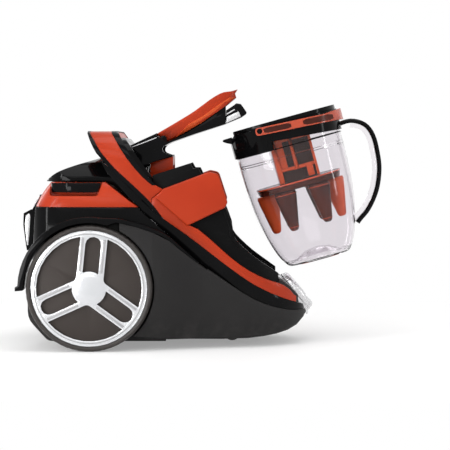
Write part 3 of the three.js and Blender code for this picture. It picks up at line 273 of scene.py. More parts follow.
# ---------------------------------------------------------------- finishes
def matte_black():
    """Grained body plastic, a little paler in patches towards the floor."""
    look = Finish("matte_black_plastic", (0.0125, 0.0118, 0.012), 0.5, Specular_IOR_Level=0.17)
    grain = look.noise(1500, 3)
    drift = look.noise(9, 2)
    look.tint(drift.ramp(0.3, 0.75), (0.018, 0.0172, 0.0172))
    low = 1 - look.axis("Z").ramp(0.012, 0.06)
    look.tint(low * look.noise(70, 4).ramp(0.45, 0.75) * 0.35, (0.05, 0.047, 0.044))
    look.rough(0.42 + grain * 0.14 + drift * 0.06)
    look.relief(grain, 0.00022, 0.55)
    return look


def gloss_black():
    """Polished black plastic with faint moulding waves and hairline marks."""
    look = Finish("gloss_black_plastic", (0.0018, 0.0018, 0.002), 0.1, Specular_IOR_Level=0.085)
    hair = look.noise(120, 5, look.stretched(1, 14, 5), 0.7)
    look.rough(0.08 + hair.ramp(0.45, 0.8) * 0.12)
    look.tint(look.noise(14, 2).ramp(0.35, 0.8), (0.0038, 0.0038, 0.0043))
    look.relief(look.noise(45, 1), 0.0004, 0.05)
    return look


def liner_black():
    """Satin black of the cup bay and of the duct's seal."""
    look = Finish("satin_black_liner", (0.003, 0.003, 0.0032), 0.32, Specular_IOR_Level=0.07)
    grain = look.noise(900, 2)
    rub = look.noise(60, 5, look.stretched(1, 1, 5), 0.65)
    look.tint(rub.ramp(0.55, 0.8) * 0.6, (0.012, 0.0115, 0.012))
    look.rough(0.28 + rub * 0.16)
    look.relief(grain, 0.00012, 0.35)
    return look


def orange_red():
    """Orange-red satin-gloss moulding with depth in its colour."""
    look = Finish("orange_red_plastic", (0.355, 0.026, 0.005), 0.26, Specular_IOR_Level=0.16,
                  Coat_Weight=0.06, Coat_Roughness=0.1)
    drift = look.noise(11, 2)
    look.tint(drift.ramp(0.35, 0.8) * 0.7, (0.46, 0.04, 0.0085))
    fleck = look.noise(2600, 1)
    look.tint(fleck.ramp(0.6, 0.75) * 0.18, (0.48, 0.07, 0.024))
    hair = look.noise(150, 5, look.stretched(3, 1, 12), 0.7)
    look.rough(0.24 + hair * 0.12)
    look.relief(look.noise(320, 1), 0.00015, 0.12)
    return look


def painted_lit_red():
    """A paler copy of the orange-red, painted light: it paints the glow of thin mouldings that light shines
    through, and the lever's lip lit from below.
    """
    look = Finish("painted_lit_orange_red", (0.62, 0.09, 0.024), 0.28, Specular_IOR_Level=0.16)
    look.tint(look.noise(24, 2).ramp(0.35, 0.75) * 0.7, (0.5, 0.052, 0.012))
    look.rough(0.24 + look.noise(180, 4) * 0.12)
    look.relief(look.noise(320, 1), 0.00015, 0.12)
    return look


def bright_rim():
    """Satin plated plastic of the wheel trims, worn a little duller in patches."""
    look = Finish("plated_silver", (0.74, 0.75, 0.77), 0.2, Metallic=0.9)
    brushed = look.noise(400, 4, look.stretched(1, 0.2, 1), 0.6)
    look.tint(look.noise(30, 3).ramp(0.3, 0.8) * 0.5, (0.6, 0.61, 0.63))
    look.rough(0.18 + brushed * 0.12)
    look.relief(look.noise(800, 2), 0.0001, 0.08)
    return look


def silver_plastic():
    """Painted silver of the hose inlet and thin trims; on the rear grille's sides and along the arm it is a
    painted reflection and a painted highlight.
    """
    look = Finish("silver_paint_and_painted_sheen", (0.66, 0.66, 0.67), 0.25, Metallic=0.6, Coat_Weight=0.4)
    flake = look.noise(3000, 1)
    look.tint(flake.ramp(0.5, 0.8) * 0.25, (0.76, 0.76, 0.77))
    look.rough(0.22 + look.noise(200, 3) * 0.12)
    look.relief(flake, 0.00003, 0.04)
    return look


def wheel_brown():
    """Grained brown-black disc behind the spokes."""
    look = Finish("wheel_disc_plastic", (0.036, 0.029, 0.026), 0.55, Specular_IOR_Level=0.18)
    grain = look.noise(1700, 3)
    look.tint(look.noise(20, 3).ramp(0.3, 0.8) * 0.6, (0.046, 0.039, 0.035))
    look.rough(0.48 + grain * 0.16)
    look.relief(grain, 0.0002, 0.5)
    return look


def tyre_rubber():
    """Matt rubber with a dusty tread."""
    look = Finish("tyre_rubber", (0.026, 0.0215, 0.0195), 0.5, Specular_IOR_Level=0.4)
    grain = look.noise(700, 4)
    dust = look.noise(55, 5, rough=0.65)
    look.tint(dust.ramp(0.45, 0.8) * 0.5, (0.056, 0.049, 0.045))
    look.rough(0.4 + dust * 0.2)
    look.relief(grain, 0.00025, 0.5)
    return look


def turned_steel():
    """Turned steel of the motor can, the axles, the arm's pin and the screws."""
    look = Finish("turned_steel", (0.45, 0.45, 0.46), 0.3, Metallic=1.0)
    rings = look.noise(900, 3, look.stretched(1, 6, 1))
    look.tint(rings.ramp(0.35, 0.7) * 0.5, (0.34, 0.34, 0.35))
    look.rough(0.24 + rings * 0.2)
    look.relief(rings, 0.00008, 0.4)
    return look


def clear_jug():
    """Clear polycarbonate, faintly smoky, with fine wear; lamps shine through it."""
    look = Finish("clear_polycarbonate", (0.86, 0.835, 0.86), 0.02, Transmission_Weight=1.0, IOR=1.3,
                  Specular_IOR_Level=0.8)
    wear = look.noise(260, 5, look.stretched(1, 1, 3), 0.7)
    look.rough(0.015 + wear.ramp(0.5, 0.85) * 0.05)
    look.relief(look.noise(35, 1), 0.0004, 0.06)
    passed_light = look.node("ShaderNodeBsdfTransparent", Color=(0.93, 0.92, 0.93, 1))
    look.over(passed_light, look.ray("Is Shadow Ray"))
    return look


def clear_red():
    """Translucent orange-red of the bail and of the cyclone's rings."""
    look = Finish("translucent_red", (0.72, 0.095, 0.03), 0.14, Transmission_Weight=0.35, IOR=1.45,
                  Coat_Weight=0.2)
    drift = look.noise(25, 2)
    look.tint(drift.ramp(0.35, 0.75) * 0.6, (0.5, 0.05, 0.018))
    look.rough(0.12 + look.noise(220, 3) * 0.1)
    look.relief(look.noise(60, 1), 0.0003, 0.08)
    return look


def smoked_red():
    """Smoked brown-red of the cyclone's deck, four of its cones and the bail's windows."""
    look = Finish("smoked_red_plastic", (0.045, 0.0095, 0.006), 0.2, Specular_IOR_Level=0.15)
    drift = look.noise(30, 3)
    look.tint(drift.ramp(0.4, 0.8), (0.1, 0.019, 0.01))
    look.rough(0.16 + look.noise(240, 3) * 0.12)
    look.relief(look.noise(300, 2), 0.0001, 0.15)
    return look


def filter_felt():
    """Pale pleated felt of the two filters."""
    look = Finish("filter_felt", (0.74, 0.72, 0.66), 0.95, Specular_IOR_Level=0.1)
    fibre = look.noise(1800, 6, look.stretched(1, 3, 1), 0.75)
    look.tint(fibre.ramp(0.45, 0.7) * 0.6, (0.55, 0.53, 0.48))
    look.rough(0.85 + fibre * 0.12)
    look.relief(fibre, 0.0004, 0.8)
    return look


def grey_plastic():
    """Grey moulding of the fan and the cord reel; on the wheel trims it is painted shade, in the grey lines
    and spoke strips.
    """
    look = Finish("grey_plastic_and_painted_shade", (0.32, 0.32, 0.33), 0.4)
    grain = look.noise(900, 3)
    look.tint(look.noise(25, 2).ramp(0.35, 0.8) * 0.5, (0.38, 0.38, 0.39))
    look.rough(0.34 + grain * 0.14)
    look.relief(grain, 0.00012, 0.4)
    return look


def dust_mesh():
    """Fine woven screen of the cyclone's outlet."""
    look = Finish("woven_screen", (0.03, 0.012, 0.009), 0.45, Specular_IOR_Level=0.15)
    warp = look.node("ShaderNodeTexWave", settings={"bands_direction": "X"}, Vector=look.place, Scale=420)
    weft = look.node("ShaderNodeTexWave", settings={"bands_direction": "Z"}, Vector=look.place, Scale=420)
    weave = warp.worked("MAXIMUM", weft)
    look.tint(weave.ramp(0.5, 0.95) * 0.5, (0.075, 0.03, 0.022))
    look.tint(look.noise(70, 3).ramp(0.45, 0.8) * 0.4, (0.014, 0.008, 0.007))
    look.rough(0.38 + weave * 0.2)
    look.relief(weave, 0.0002, 0.6)
    return look


def make_finishes():
    """Every finish by its slot; the paler red that paints light, and dust_mesh, are finishes of fine pieces
    only.
    """
    return {
        "matte_black": matte_black(),
        "gloss_black": gloss_black(),
        "liner_black": liner_black(),
        "gloss_red": orange_red(),
        "painted_lit_red": painted_lit_red(),
        "silver": bright_rim(),
        "silver_plastic": silver_plastic(),
        "wheel_brown": wheel_brown(),
        "tyre": tyre_rubber(),
        "steel": turned_steel(),
        "clear_red": clear_red(),
        "smoked_red": smoked_red(),
        "dust_mesh": dust_mesh(),
        "clear": clear_jug(),
        "felt": filter_felt(),
        "grey_plastic": grey_plastic(),
    }


FINISHES = make_finishes()


# ---------------------------------------------------------------- eased edges
CRISP_ANGLE = math.radians(32)      # edges sharper than this are rounded, and aren't shaded smooth


def crease_group():
    """Faces shade smooth, edges sharper than the limit stay crisp."""
    group = bpy.data.node_groups.new("crease", "GeometryNodeTree")
    group.interface.new_socket("Geometry", in_out="INPUT", socket_type="NodeSocketGeometry")
    group.interface.new_socket("Geometry", in_out="OUTPUT", socket_type="NodeSocketGeometry")
    start = group.nodes.new("NodeGroupInput")
    end = group.nodes.new("NodeGroupOutput")
    soft = group.nodes.new("GeometryNodeSetShadeSmooth")
    soft.domain = "FACE"
    soft.inputs["Shade Smooth"].default_value = True
    crisp = group.nodes.new("GeometryNodeSetShadeSmooth")
    crisp.domain = "EDGE"
    crisp.inputs["Shade Smooth"].default_value = False
    angle = group.nodes.new("GeometryNodeInputMeshEdgeAngle")
    over = group.nodes.new("FunctionNodeCompare")
    over.data_type = "FLOAT"
    over.operation = "GREATER_THAN"
    over.inputs[1].default_value = CRISP_ANGLE
    group.links.new(angle.outputs[0], over.inputs[0])
    group.links.new(start.outputs[0], soft.inputs["Geometry"])
    group.links.new(soft.outputs[0], crisp.inputs["Geometry"])
    group.links.new(over.outputs[0], crisp.inputs["Selection"])
    group.links.new(crisp.outputs[0], end.inputs[0])
    return group


CREASE = crease_group()


def eased(piece, width):
    """Rounds the edges that a moulding would round, width in mm."""
    if width:
        edge = piece.modifiers.new("edge", "BEVEL")
        edge.width = width * MM
        edge.segments = 2
        edge.limit_method = "ANGLE"
        edge.angle_limit = CRISP_ANGLE
        edge.use_clamp_overlap = True
    piece.modifiers.new("crease", "NODES").node_group = CREASE


# ---------------------------------------------------------------- shaping tools, in millimetres
class Shape:
    """The mesh of one piece, put together from lofts, turned forms and slabs in a frame of its own."""

    def __init__(self):
        self.work = bmesh.new()

    def loft(self, rings, closed=False):
        """Skins rings of equal count; the ends are capped unless the run closes on itself."""
        rows = [[self.work.verts.new(point) for point in ring] for ring in rings]
        runs = list(zip(rows, rows[1:]))
        if closed:
            runs.append((rows[-1], rows[0]))
        for low, high in runs:
            for i, j in zip(range(len(low)), [*range(1, len(low)), 0]):
                self.work.faces.new((low[i], low[j], high[j], high[i]))
        if not closed:
            self.work.faces.new(rows[0][::-1])
            self.work.faces.new(rows[-1])
        return self

    def turn(self, profile, steps=64, closed=False, place=Matrix()):
        """Turns (radius, height) points about the frame's Z."""
        rings = [[place @ around(a, radius, height) for a in turns(steps)] for radius, height in profile]
        return self.loft(rings, closed)

    def slab(self, outline, near, far):
        """Carries an (x, z) outline along y from near to far."""
        return self.loft([[Vector((x, y, z)) for x, z in outline] for y in (near, far)])

    def block(self, x, y, z):
        """A block between the two values given for each direction."""
        (x0, x1), (z0, z1) = x, z
        return self.slab([(x0, z0), (x1, z0), (x1, z1), (x0, z1)], *y)

    def rod(self, path, radius, steps):
        """A round bar along a path."""
        rings = []
        for i, point in enumerate(path):
            before, after = path[max(i - 1, 0)], path[min(i + 1, len(path) - 1)]
            ahead = (after - before).normalized()
            level = Vector((0, 0, 1)) if abs(ahead.z) < 0.9 else Vector((0, 1, 0))
            side = ahead.cross(level).normalized()
            up = side.cross(ahead)
            rings.append([point + (side * math.cos(a) + up * math.sin(a)) * radius for a in turns(steps)])
        return self.loft(rings)

    def piece(self, name, body, finish, place, stands_for=(), edge=0, slot=None):
        """Makes the object in its place and on its body, in its finish; the slot argument is not used."""
        bmesh.ops.remove_doubles(self.work, verts=self.work.verts, dist=0.001)
        bmesh.ops.dissolve_degenerate(self.work, edges=self.work.edges, dist=0.0005)
        bmesh.ops.recalc_face_normals(self.work, faces=self.work.faces)
        self.work.transform(place @ Matrix.Scale(MM, 4))
        mesh = bpy.data.meshes.new(name)
        self.work.to_mesh(mesh)
        self.work.free()
        made = bpy.data.objects.new(name, mesh)
        SCENE.collection.objects.link(made)
        mesh.materials.append(FINISHES[finish].material)
        eased(made, edge)
        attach(made, body)
        if stands_for:
            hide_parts(*stands_for)


def turns(steps):
    """Angles that share out a full turn."""
    return [2 * math.pi * i / steps for i in range(steps)]


def around(angle, radius, height):
    """The point at that angle, radius and height about z."""
    return Vector((radius * math.cos(angle), radius * math.sin(angle), height))


def wire(radius, height, half_width, half_height):
    """The eight-sided (radius, height) section of a fine ring."""
    return [(radius + half_width * math.cos(a), height + half_height * math.sin(a)) for a in turns(8)]


def span(side, inner, outer):
    """Where a piece on one side starts and ends along y, from its distances to the middle plane."""
    return sorted((side * inner, side * outer))


def between(points, x):
    """Straight-line value of an (x, value) run."""
    for (x0, v0), (x1, v1) in zip(points, points[1:]):
        if x <= x1:
            return v0 + (v1 - v0) * max(x - x0, 0) / (x1 - x0)
    return points[-1][1]


def flowing(points, steps):
    """A smooth line through points, steps to each stretch."""
    ends = [points[0], *points, points[-1]]
    line = []
    for stretch in zip(ends, ends[1:], ends[2:], ends[3:]):
        for i in range(steps):
            t = i / steps
            line.append(tuple(0.5 * (2 * q + (r - p) * t + (2 * p - 5 * q + 4 * r - s) * t * t
                                     + (3 * q - p - 3 * r + s) * t ** 3) for p, q, r, s in zip(*stretch)))
    return [*line, tuple(points[-1])]


def middle(node):
    """The middle of a node's box, in metres."""
    low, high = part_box(node)
    return (low + high) / 2


# The axle line is where side-view sizes are counted from; the floor is z = 0.
AXLE = Matrix.Translation((middle("tyre_left").x, 0, 0))
WHEEL_RADIUS = middle("tyre_left").z / MM


def leaning(foot, degrees):
    """A frame of its own at a foot counted from the axle line, leaning in side view."""
    return AXLE @ Matrix.Translation(foot) @ Matrix.Rotation(math.radians(degrees), 4, "Y")


CUP = leaning((0.3553, 0, 0.1326), -15.4)      # z runs from the jug's foot up to its lid
INLET = leaning((0.322, 0, 0.082), 50)         # z runs outward through the mouth of the hose inlet


# ---------------------------------------------------------------- wheels
RIM_FACE = 31                     # the bright trim's face, counted outward from the wheel's inner face
SPOKE_PAIRS = (84, 204, 324)      # degrees
SPOKE_OFF = 16.3                  # from a spoke's middle line to the middle line of its pair
BEAD_RADIUS, SHADE_LINE_RADIUS = 86.6, 82.4
TREAD_STEPS = 180                 # round the tyre; every third one is notched at the shoulders
NOTCH_DEPTH = 0.9
GROOVE_DEPTH = 1.5
GROOVES = (9.5, 17, 24.5)         # middle lines across the tread, from the inner face


def wheel_place(name, out):
    """The wheel's own frame: z runs outward along the axle from its inner face; out is 1 towards +y."""
    low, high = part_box(f"tyre_{name}")
    inner = low.y if out > 0 else high.y
    lift = Matrix.Translation((0, inner, WHEEL_RADIUS * MM))
    return AXLE @ lift @ Matrix.Rotation(math.radians(-90 * out), 4, "X")


def tyre(name, place):
    """Grooved tread between notched shoulders, with a bead line on the outer wall."""
    radius = WHEEL_RADIUS - 0.05
    low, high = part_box(f"tyre_{name}")
    width = (high.y - low.y) / MM
    inner_wall = [(radius - 7, 0.3), (radius - 4.6, 0.05)]
    inner_shoulder = [(radius - 1.5, 1.5), (radius - 0.3, 4)]
    tread = []
    for centre in GROOVES:
        tread += [(radius, centre - 2), (radius, centre - 1), (radius - GROOVE_DEPTH, centre - 0.6),
                  (radius - GROOVE_DEPTH, centre + 0.6), (radius, centre + 1), (radius, centre + 2)]
    outer_shoulder = [(radius - 0.3, width - 4), (radius - 1.5, width - 1.5)]
    outer_wall = [(radius - 3.6, width - 0.2), (radius - 4.2, width - 0.5), (radius - 4.8, width - 0.2),
                  (radius - 7, width - 1.2)]
    rings = []
    for step, a in enumerate(turns(TREAD_STEPS)):
        dip = NOTCH_DEPTH if step % 3 == 0 else 0
        shoulders = [[(r - dip, height) for r, height in run] for run in (inner_shoulder, outer_shoulder)]
        section = [*inner_wall, *shoulders[0], *tread, *shoulders[1], *outer_wall]
        rings.append([around(a, r, height) for r, height in section])
    Shape().loft(rings, closed=True).piece(f"tyre_tread_{name}", f"wheel_{name}", "tyre", place,
                                           [f"tyre_{name}"])


def hub_dome(name, place):
    """The trim's centre cap, a shallow dome with a stepped edge."""
    rises = [(0, 0), (24, 0), (24, 0.7), (22.8, 1.1), (22, 1.1), (21, 1.5), (16, 2.1), (8, 2.5), (0, 2.6)]
    profile = [(radius, RIM_FACE + 0.3 + rise) for radius, rise in rises]
    Shape().turn(profile).piece(f"hub_dome_{name}", f"wheel_{name}", "silver", place, [f"hub_cap_{name}"])


def rim_lines(name, place):
    """A raised bead round the bright rim, and a grey line round it that is painted shade."""
    bead = wire(BEAD_RADIUS, RIM_FACE - 0.1, 0.6, 0.35)
    # the grey line is painted shade on the rim's face, not a part
    line = wire(SHADE_LINE_RADIUS, RIM_FACE - 0.1, 1.1, 0.35)
    for kind, ring, finish in (("bead", bead, "silver"), ("line", line, "grey_plastic")):
        Shape().turn(ring, 128, closed=True).piece(f"rim_{kind}_{name}", f"wheel_{name}", finish, place)


def spoke_painted_shade(name, place, out):
    """Grey strip along each of the trim's six spokes: painted shade, where each spoke's inner bevel lies in
    shade.
    """
    shape = Shape()
    for angle in SPOKE_PAIRS:
        about = Matrix.Rotation(math.radians(-out * angle), 4, "Z")
        for off in (-SPOKE_OFF, SPOKE_OFF):
            corners = [(25, off - 1.7), (76, off - 2), (76, off + 2), (25, off + 1.7)]
            shape.loft([[about @ Vector((x, -out * y, RIM_FACE + rise)) for x, y in corners]
                        for rise in (-0.2, 0.15)])
    shape.piece(f"spoke_painted_shade_{name}", f"wheel_{name}", "grey_plastic", place, edge=0.1)


def castor_tread():
    """The castor's roller: a moulded hub between two soft treads."""
    low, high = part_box("castor_wheel")
    radius = (high.z - low.z) / 2 / MM - 0.02
    half = (high.y - low.y) / 2 / MM - 0.02
    place = Matrix.Translation(middle("castor_wheel")) @ Matrix.Rotation(math.radians(90), 4, "X")
    side = [(2.9, half), (6, half), (6.6, half - 1.4), (radius - 3.4, half - 1.4), (radius - 3, half - 0.2),
            (radius - 1.2, half - 0.3), (radius, half - 1.6), (radius, 1.4), (radius - 1.3, 0.8)]
    profile = [*[(r, -height) for r, height in side], *side[::-1]]
    Shape().turn(profile, 72, closed=True).piece("castor_tread", "castor_roller", "tyre", place,
                                                 ["castor_wheel"])


# ---------------------------------------------------------------- dust cup, in its own frame
CUP_STEPS = 96
CUP_DEPTH = 0.95           # its depth as a share of its length
CUP_SQUARENESS = 0.86      # 1 would be an ellipse
# Height and half length up the jug's outside, then x and height down its handle.
JUG_LINE = [(0, 50), (5, 54.5), (22, 63.9), (53, 73.6), (91.5, 80.9), (125, 83.8), (156, 85), (199, 85)]
HANDLE_LINE = [(83.4, 193), (104, 193.5), (122, 183), (129.5, 165), (129.6, 140), (125.5, 112), (113, 82),
               (94, 58), (77, 45.5), (71, 40.5)]
JUG_TOP_HALF = 85
JUG_WALL = 2.4
COLUMN_LOW, COLUMN_HIGH = 129.4, 199.5      # the cyclone's head, whose bars stand on its sides
COLUMN_SIDE = 26.5
CONE_CIRCLE = 54           # radius of the circle that the cones' middles lie on
BAIL_REAR = -47.5          # where the bail's taper is counted from
BAIL_HALF = 88.5           # half the collar's length, which the bail goes round


def rounded_ring(half, height):
    """The cup's outline: a little squarer than an ellipse and less deep than long."""
    ring = []
    for a in turns(CUP_STEPS):
        x, y = (math.copysign(abs(v) ** CUP_SQUARENESS, v) for v in (math.cos(a), math.sin(a)))
        ring.append(Vector((half * x, half * CUP_DEPTH * y, height)))
    return ring


def half_depth(half, x):
    """How far the outline of that half length reaches to the side at x."""
    along = min(abs(x) / half, 1) ** (1 / CUP_SQUARENESS)
    return half * CUP_DEPTH * math.sqrt(1 - along * along) ** CUP_SQUARENESS


def cup_band(section):
    """A band round the cup, with a section of (half length, height) points."""
    return Shape().loft(list(zip(*[rounded_ring(half, height) for half, height in section])), closed=True)


def band_along(line, inner, outer, half, round_off):
    """Sections of a strap that follows the handle's line, inner to outer off it and half wide."""
    sections = []
    for i, point in enumerate(line):
        before, after = Vector(line[max(i - 1, 0)]), Vector(line[min(i + 1, len(line) - 1)])
        run = (after - before).normalized()
        out = Vector((-run.y, run.x))
        outline = [(inner + round_off, -half), (inner, round_off - half), (inner, half - round_off),
                   (inner + round_off, half), (outer - round_off, half), (outer, half - round_off),
                   (outer, round_off - half), (outer - round_off, -half)]
        spots = [(Vector(point) + out * off, y) for off, y in outline]
        sections.append([Vector((spot.x, y, spot.y)) for spot, y in spots])
    return sections


def jug():
    """Clear jug with a foot ring, a domed floor, a step under the collar and a web in its handle."""
    line = flowing(JUG_LINE, 4)
    outer = [rounded_ring(half, height) for height, half in line]
    inner = [(half - JUG_WALL, height) for height, half in reversed(line) if height > 8]
    above = [rounded_ring(half, height) for half, height in inner if height > 172.5]
    below = [rounded_ring(half, height) for half, height in inner if height < 167]
    step = [rounded_ring(JUG_TOP_HALF - JUG_WALL - depth, height)
            for depth, height in ((0, 172), (1, 171), (1, 168.5), (0, 167.5))]
    floor_line = [(51, 4.6), (46, 3.4), (38, 4.6), (30, 10), (20, 15.5), (8, 18), (0.01, 18.4)]
    under_line = [(0.01, 15.6), (8, 15.2), (20, 12.6), (30, 7.2), (38, 2.6), (44, 2.2), (46, 0.1)]
    dome = [rounded_ring(half, height) for half, height in floor_line]
    underside = [rounded_ring(half, height) for half, height in under_line]
    shape = Shape().loft([*underside, *outer, *above, *step, *below, *dome])
    shape.loft(band_along(flowing(HANDLE_LINE, 4)[4:], -7, -0.4, 6.6, 1.2))
    shape.piece("clear_jug", "cup", "clear", CUP, ["jug"])


def handle():
    """Black grip strap over the clear web."""
    shape = Shape().loft(band_along(flowing(HANDLE_LINE, 4), 0.2, 7.2, 9.2, 2.2))
    shape.piece("handle_strap", "cup", "gloss_black", CUP, ["jug_handle"])


def gasket():
    """Dark seal between the collar's lower edge and the jug."""
    half = JUG_TOP_HALF + 0.1
    seal = cup_band([(half, 184.6), (half + 1.3, 184.9), (half + 1.3, 186.1), (half, 186.4)])
    seal.piece("collar_seal", "cup", "gloss_black", CUP)


def cyclone_frame():
    """Windowed head of the cyclone: bright bars round a dark woven screen, and a tab on each side."""
    bars = Shape()
    for _, side in SIDES[::-1]:
        bar = span(side, COLUMN_SIDE, 31)
        for x, low in (((-30, -22), COLUMN_LOW), ((0, 5), 147), ((31, 35), COLUMN_LOW)):
            bars.block(x, bar, (low, COLUMN_HIGH))
        bars.block((-22, -11), span(side, COLUMN_SIDE, 29), (152, 193))
        for z in ((147, 152), (193, COLUMN_HIGH)):
            for x in ((-22, 0), (5, 31)):
                bars.block(x, bar, z)
    for x in ((-30, -27), (32, 35)):
        bars.block(x, (-COLUMN_SIDE, COLUMN_SIDE), (COLUMN_LOW, COLUMN_HIGH))
    # the bars, and the tabs below, take the paler red that paints the glow of light through them
    bars.piece("cyclone_frame", "cup", "painted_lit_red", CUP, ["cyclone_column"], edge=0.8, slot="clear_red")
    screen = Shape().block((-26.8, 31.8), (-26.3, 26.3), (COLUMN_LOW + 0.1, COLUMN_HIGH - 0.1))
    screen.piece("cyclone_screen", "cup", "dust_mesh", CUP, edge=0.6, slot="smoked_red")
    for name, side in SIDES[::-1]:
        tab = Shape().block((17, 27), span(side, 31.2, 33.4), (131, 152))
        tab.piece(f"inlet_tab_{name}", "cup", "painted_lit_red", CUP, edge=0.6, slot="clear_red")


def cyclone_deck():
    """The smoked deck that the cones hang from, with a bright rim."""
    line = [(64, 117.2), (66, 118.2), (67.6, 124), (68, 127), (68.4, 128.6), (66.5, 129), (60, 128.4),
            (40, 128.4)]
    shape = Shape().loft([rounded_ring(half, height) for half, height in line])
    shape.piece("cyclone_deck", "cup", "smoked_red", CUP, ["cyclone_plate"])
    trim = cup_band([(68.5, 126.6), (69.2, 127), (69.2, 128.6), (68.5, 129)])
    trim.piece("deck_trim", "cup", "clear_red", CUP)


def cyclone_cones():
    """Six cones under the deck: the front and rear ones bright, the rest smoked with bright rings."""
    profile = [(0, 54.1), (3.2, 54.3), (5.6, 55.6), (7.3, 58.6), (12.3, 84), (16.6, 107), (16.8, 111),
               (17.5, 111.4), (17.5, 114), (16.8, 114.4), (16.8, 116.7), (0, 116.7)]
    for index in range(6):
        place = CUP @ Matrix.Translation(around(math.radians(60 * index), CONE_CIRCLE * MM, 0))
        bright = index % 3 == 0
        # the bright cones take the paler red that paints the light through them
        finish, slot = ("painted_lit_red", "gloss_red") if bright else ("smoked_red", "smoked_red")
        Shape().turn(profile, 48).piece(f"cone_{index + 1}", "cup", finish, place,
                                        [f"cyclone_cone_{index + 1}"], slot=slot)
        if not bright:
            rings = Shape()
            for reach, height in ((8.1, 60.5), (17.6, 112.7)):
                rings.turn(wire(reach, height, 0.5, 0.5), 48, closed=True)
            rings.piece(f"cone_ring_{index + 1}", "cup", "clear_red", place)


def bail_windows():
    """Dark windows let into the bail's two arms, which taper towards the front."""
    steps = 8
    for name, side in SIDES:
        for index, (x0, x1) in enumerate(((-35, 8), (27, 76))):
            sections = []
            for step in range(steps + 1):
                x = x0 + (x1 - x0) * step / steps
                face = BAIL_HALF * CUP_DEPTH + 6 if x < 0 else half_depth(BAIL_HALF + 6.5, x)
                pinch = 1.6 if step in (0, steps) else 0
                low = 214.5 - (x - BAIL_REAR) * 0.0645 + pinch
                high = 222.4 - (x - BAIL_REAR) * 0.0548 - pinch
                corners = [(-0.6, low), (0.3, low), (0.3, high), (-0.6, high)]
                sections.append([Vector((x, side * (face + depth), height)) for depth, height in corners])
            Shape().loft(sections).piece(f"bail_window_{name}_{index + 1}", "bail", "smoked_red", CUP)


# ---------------------------------------------------------------- carrying loop
# Height, and the rear and front x of each lining there.
REAR_LINING = [(203, 105.5, 107.5), (213.4, 92.6, 99.8), (224.8, 82.6, 91), (247.6, 58.8, 67),
               (275.6, 29.9, 36.5), (300.8, 7.4, 14.6), (318, -1.4, 4.4), (330, -6.8, -3.6),
               (340, -6.8, -3.6)]
FRONT_LINING = [(250.2, 93, 97.8), (262, 79, 87), (276, 66.4, 75.2), (292, 54, 63.4), (308, 43.5, 52.5),
                (320, 36.5, 45.8), (330, 30, 39.8), (340, 27, 35)]
LOOP_CORNER = 42
LINING_OVERHANG = 0.8      # how far a lining wraps past the loop's edge


def lining_arch(half, start, top):
    """(y, z, lean) up one side of the loop from height start, and over its corner."""
    upright = top - LOOP_CORNER - start
    arch = [(half, start + upright * step / 6, 0) for step in range(6)]
    for step in range(9):
        lean = math.radians(90 * step / 8)
        along, up = (LOOP_CORNER * (1 - reach) for reach in (math.cos(lean), math.sin(lean)))
        arch.append((half - along, top - up, lean))
    return arch


def loop_linings():
    """Black linings along the loop's rear and front edges, following its arch."""
    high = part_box("loop_cover")[1] / MM
    for name, lining in (("rear", REAR_LINING), ("front", FRONT_LINING)):
        rear_edge = [(height, x) for height, x, _ in lining]
        front_edge = [(height, x) for height, _, x in lining]
        behind, ahead = (LINING_OVERHANG, 0) if name == "rear" else (0, LINING_OVERHANG)
        arch = lining_arch(high.y, lining[0][0], high.z)
        sections = []
        for side, run in ((1, arch), (-1, arch[::-1])):
            for y, z, lean in run:
                x0 = between(rear_edge, z) - behind
                x1 = between(front_edge, z) + ahead
                out = Vector((0, side * math.cos(lean), math.sin(lean)))
                corners = [(x0, -0.4), (x1, -0.4), (x1, 0.5), (x0, 0.5)]
                sections.append([Vector((x, side * y, z)) + out * rise for x, rise in corners])
        Shape().loft(sections).piece(f"loop_lining_{name}", "body", "gloss_black", AXLE, edge=0.2)


# ---------------------------------------------------------------- arm, lever, grille and vents, in side view
LEVER_UNDER = [(113.5, 316.8), (124, 321.4), (170.6, 348.4), (205.8, 373.6), (222.5, 386.8)]
LEVER_PLAN = [(95, 30), (150, 30), (190, 28), (215, 22), (226, 12)]
BAY_EDGE = [(172, 266), (192, 239.5), (201.6, 212.6), (211.6, 185.4), (213.4, 170.6), (226, 154.4),
            (248, 135.2), (269.6, 120)]


def tip_trim():
    """Silver cheek and line on both sides of the arm's tip catch."""
    cheek = [(206.8, 346.5), (207.4, 355.8), (225.8, 364.6), (229.4, 356.6)]
    line = [(207, 361), (219.5, 368.4), (220.3, 366.9), (207.2, 359.2)]
    for name, side in SIDES:
        width = span(side, 32.6, 33.5)
        shape = Shape().slab(cheek, *width).slab(line, *width)
        shape.piece(f"tip_trim_{name}", "catch", "silver_plastic", AXLE, edge=0.25)


def lever_lip():
    """Flared lip along the lower edge of the release lever, shallow at both ends."""
    steps = 14
    for name, side in SIDES:
        sections = []
        for step in range(steps + 1):
            x = 128 + (219 - 128) * step / steps
            low = between(LEVER_UNDER, x) + 0.4
            top = low + 8.6 * min(1, step / 3, (steps - step) / 1.5 + 0.15)
            half = between(LEVER_PLAN, x)
            corners = [(half - 2.4, low), (half - 0.6, low), (half + 1.5, top), (half - 0.5, top + 1)]
            sections.append([Vector((x, side * y, z)) for y, z in corners])
        # the lip takes the paler red, painted light for the lip lit from below
        Shape().loft(sections).piece(f"lever_lip_{name}", "lever", "painted_lit_red", AXLE, edge=0.2,
                                     slot="gloss_red")


def arm_painted_highlight():
    """Thin bright strip along both sides of the arm, under its top: a painted highlight where the arm's top
    edge catches the light.
    """
    strip = [(50, 303.8), (98.2, 322.6), (98.2, 324), (50, 305)]
    for name, side in SIDES:
        Shape().slab(strip, *span(side, 59.6, 60.5)).piece(f"arm_painted_highlight_{name}", "arm", "silver_plastic", AXLE,
                                                           edge=0.2)


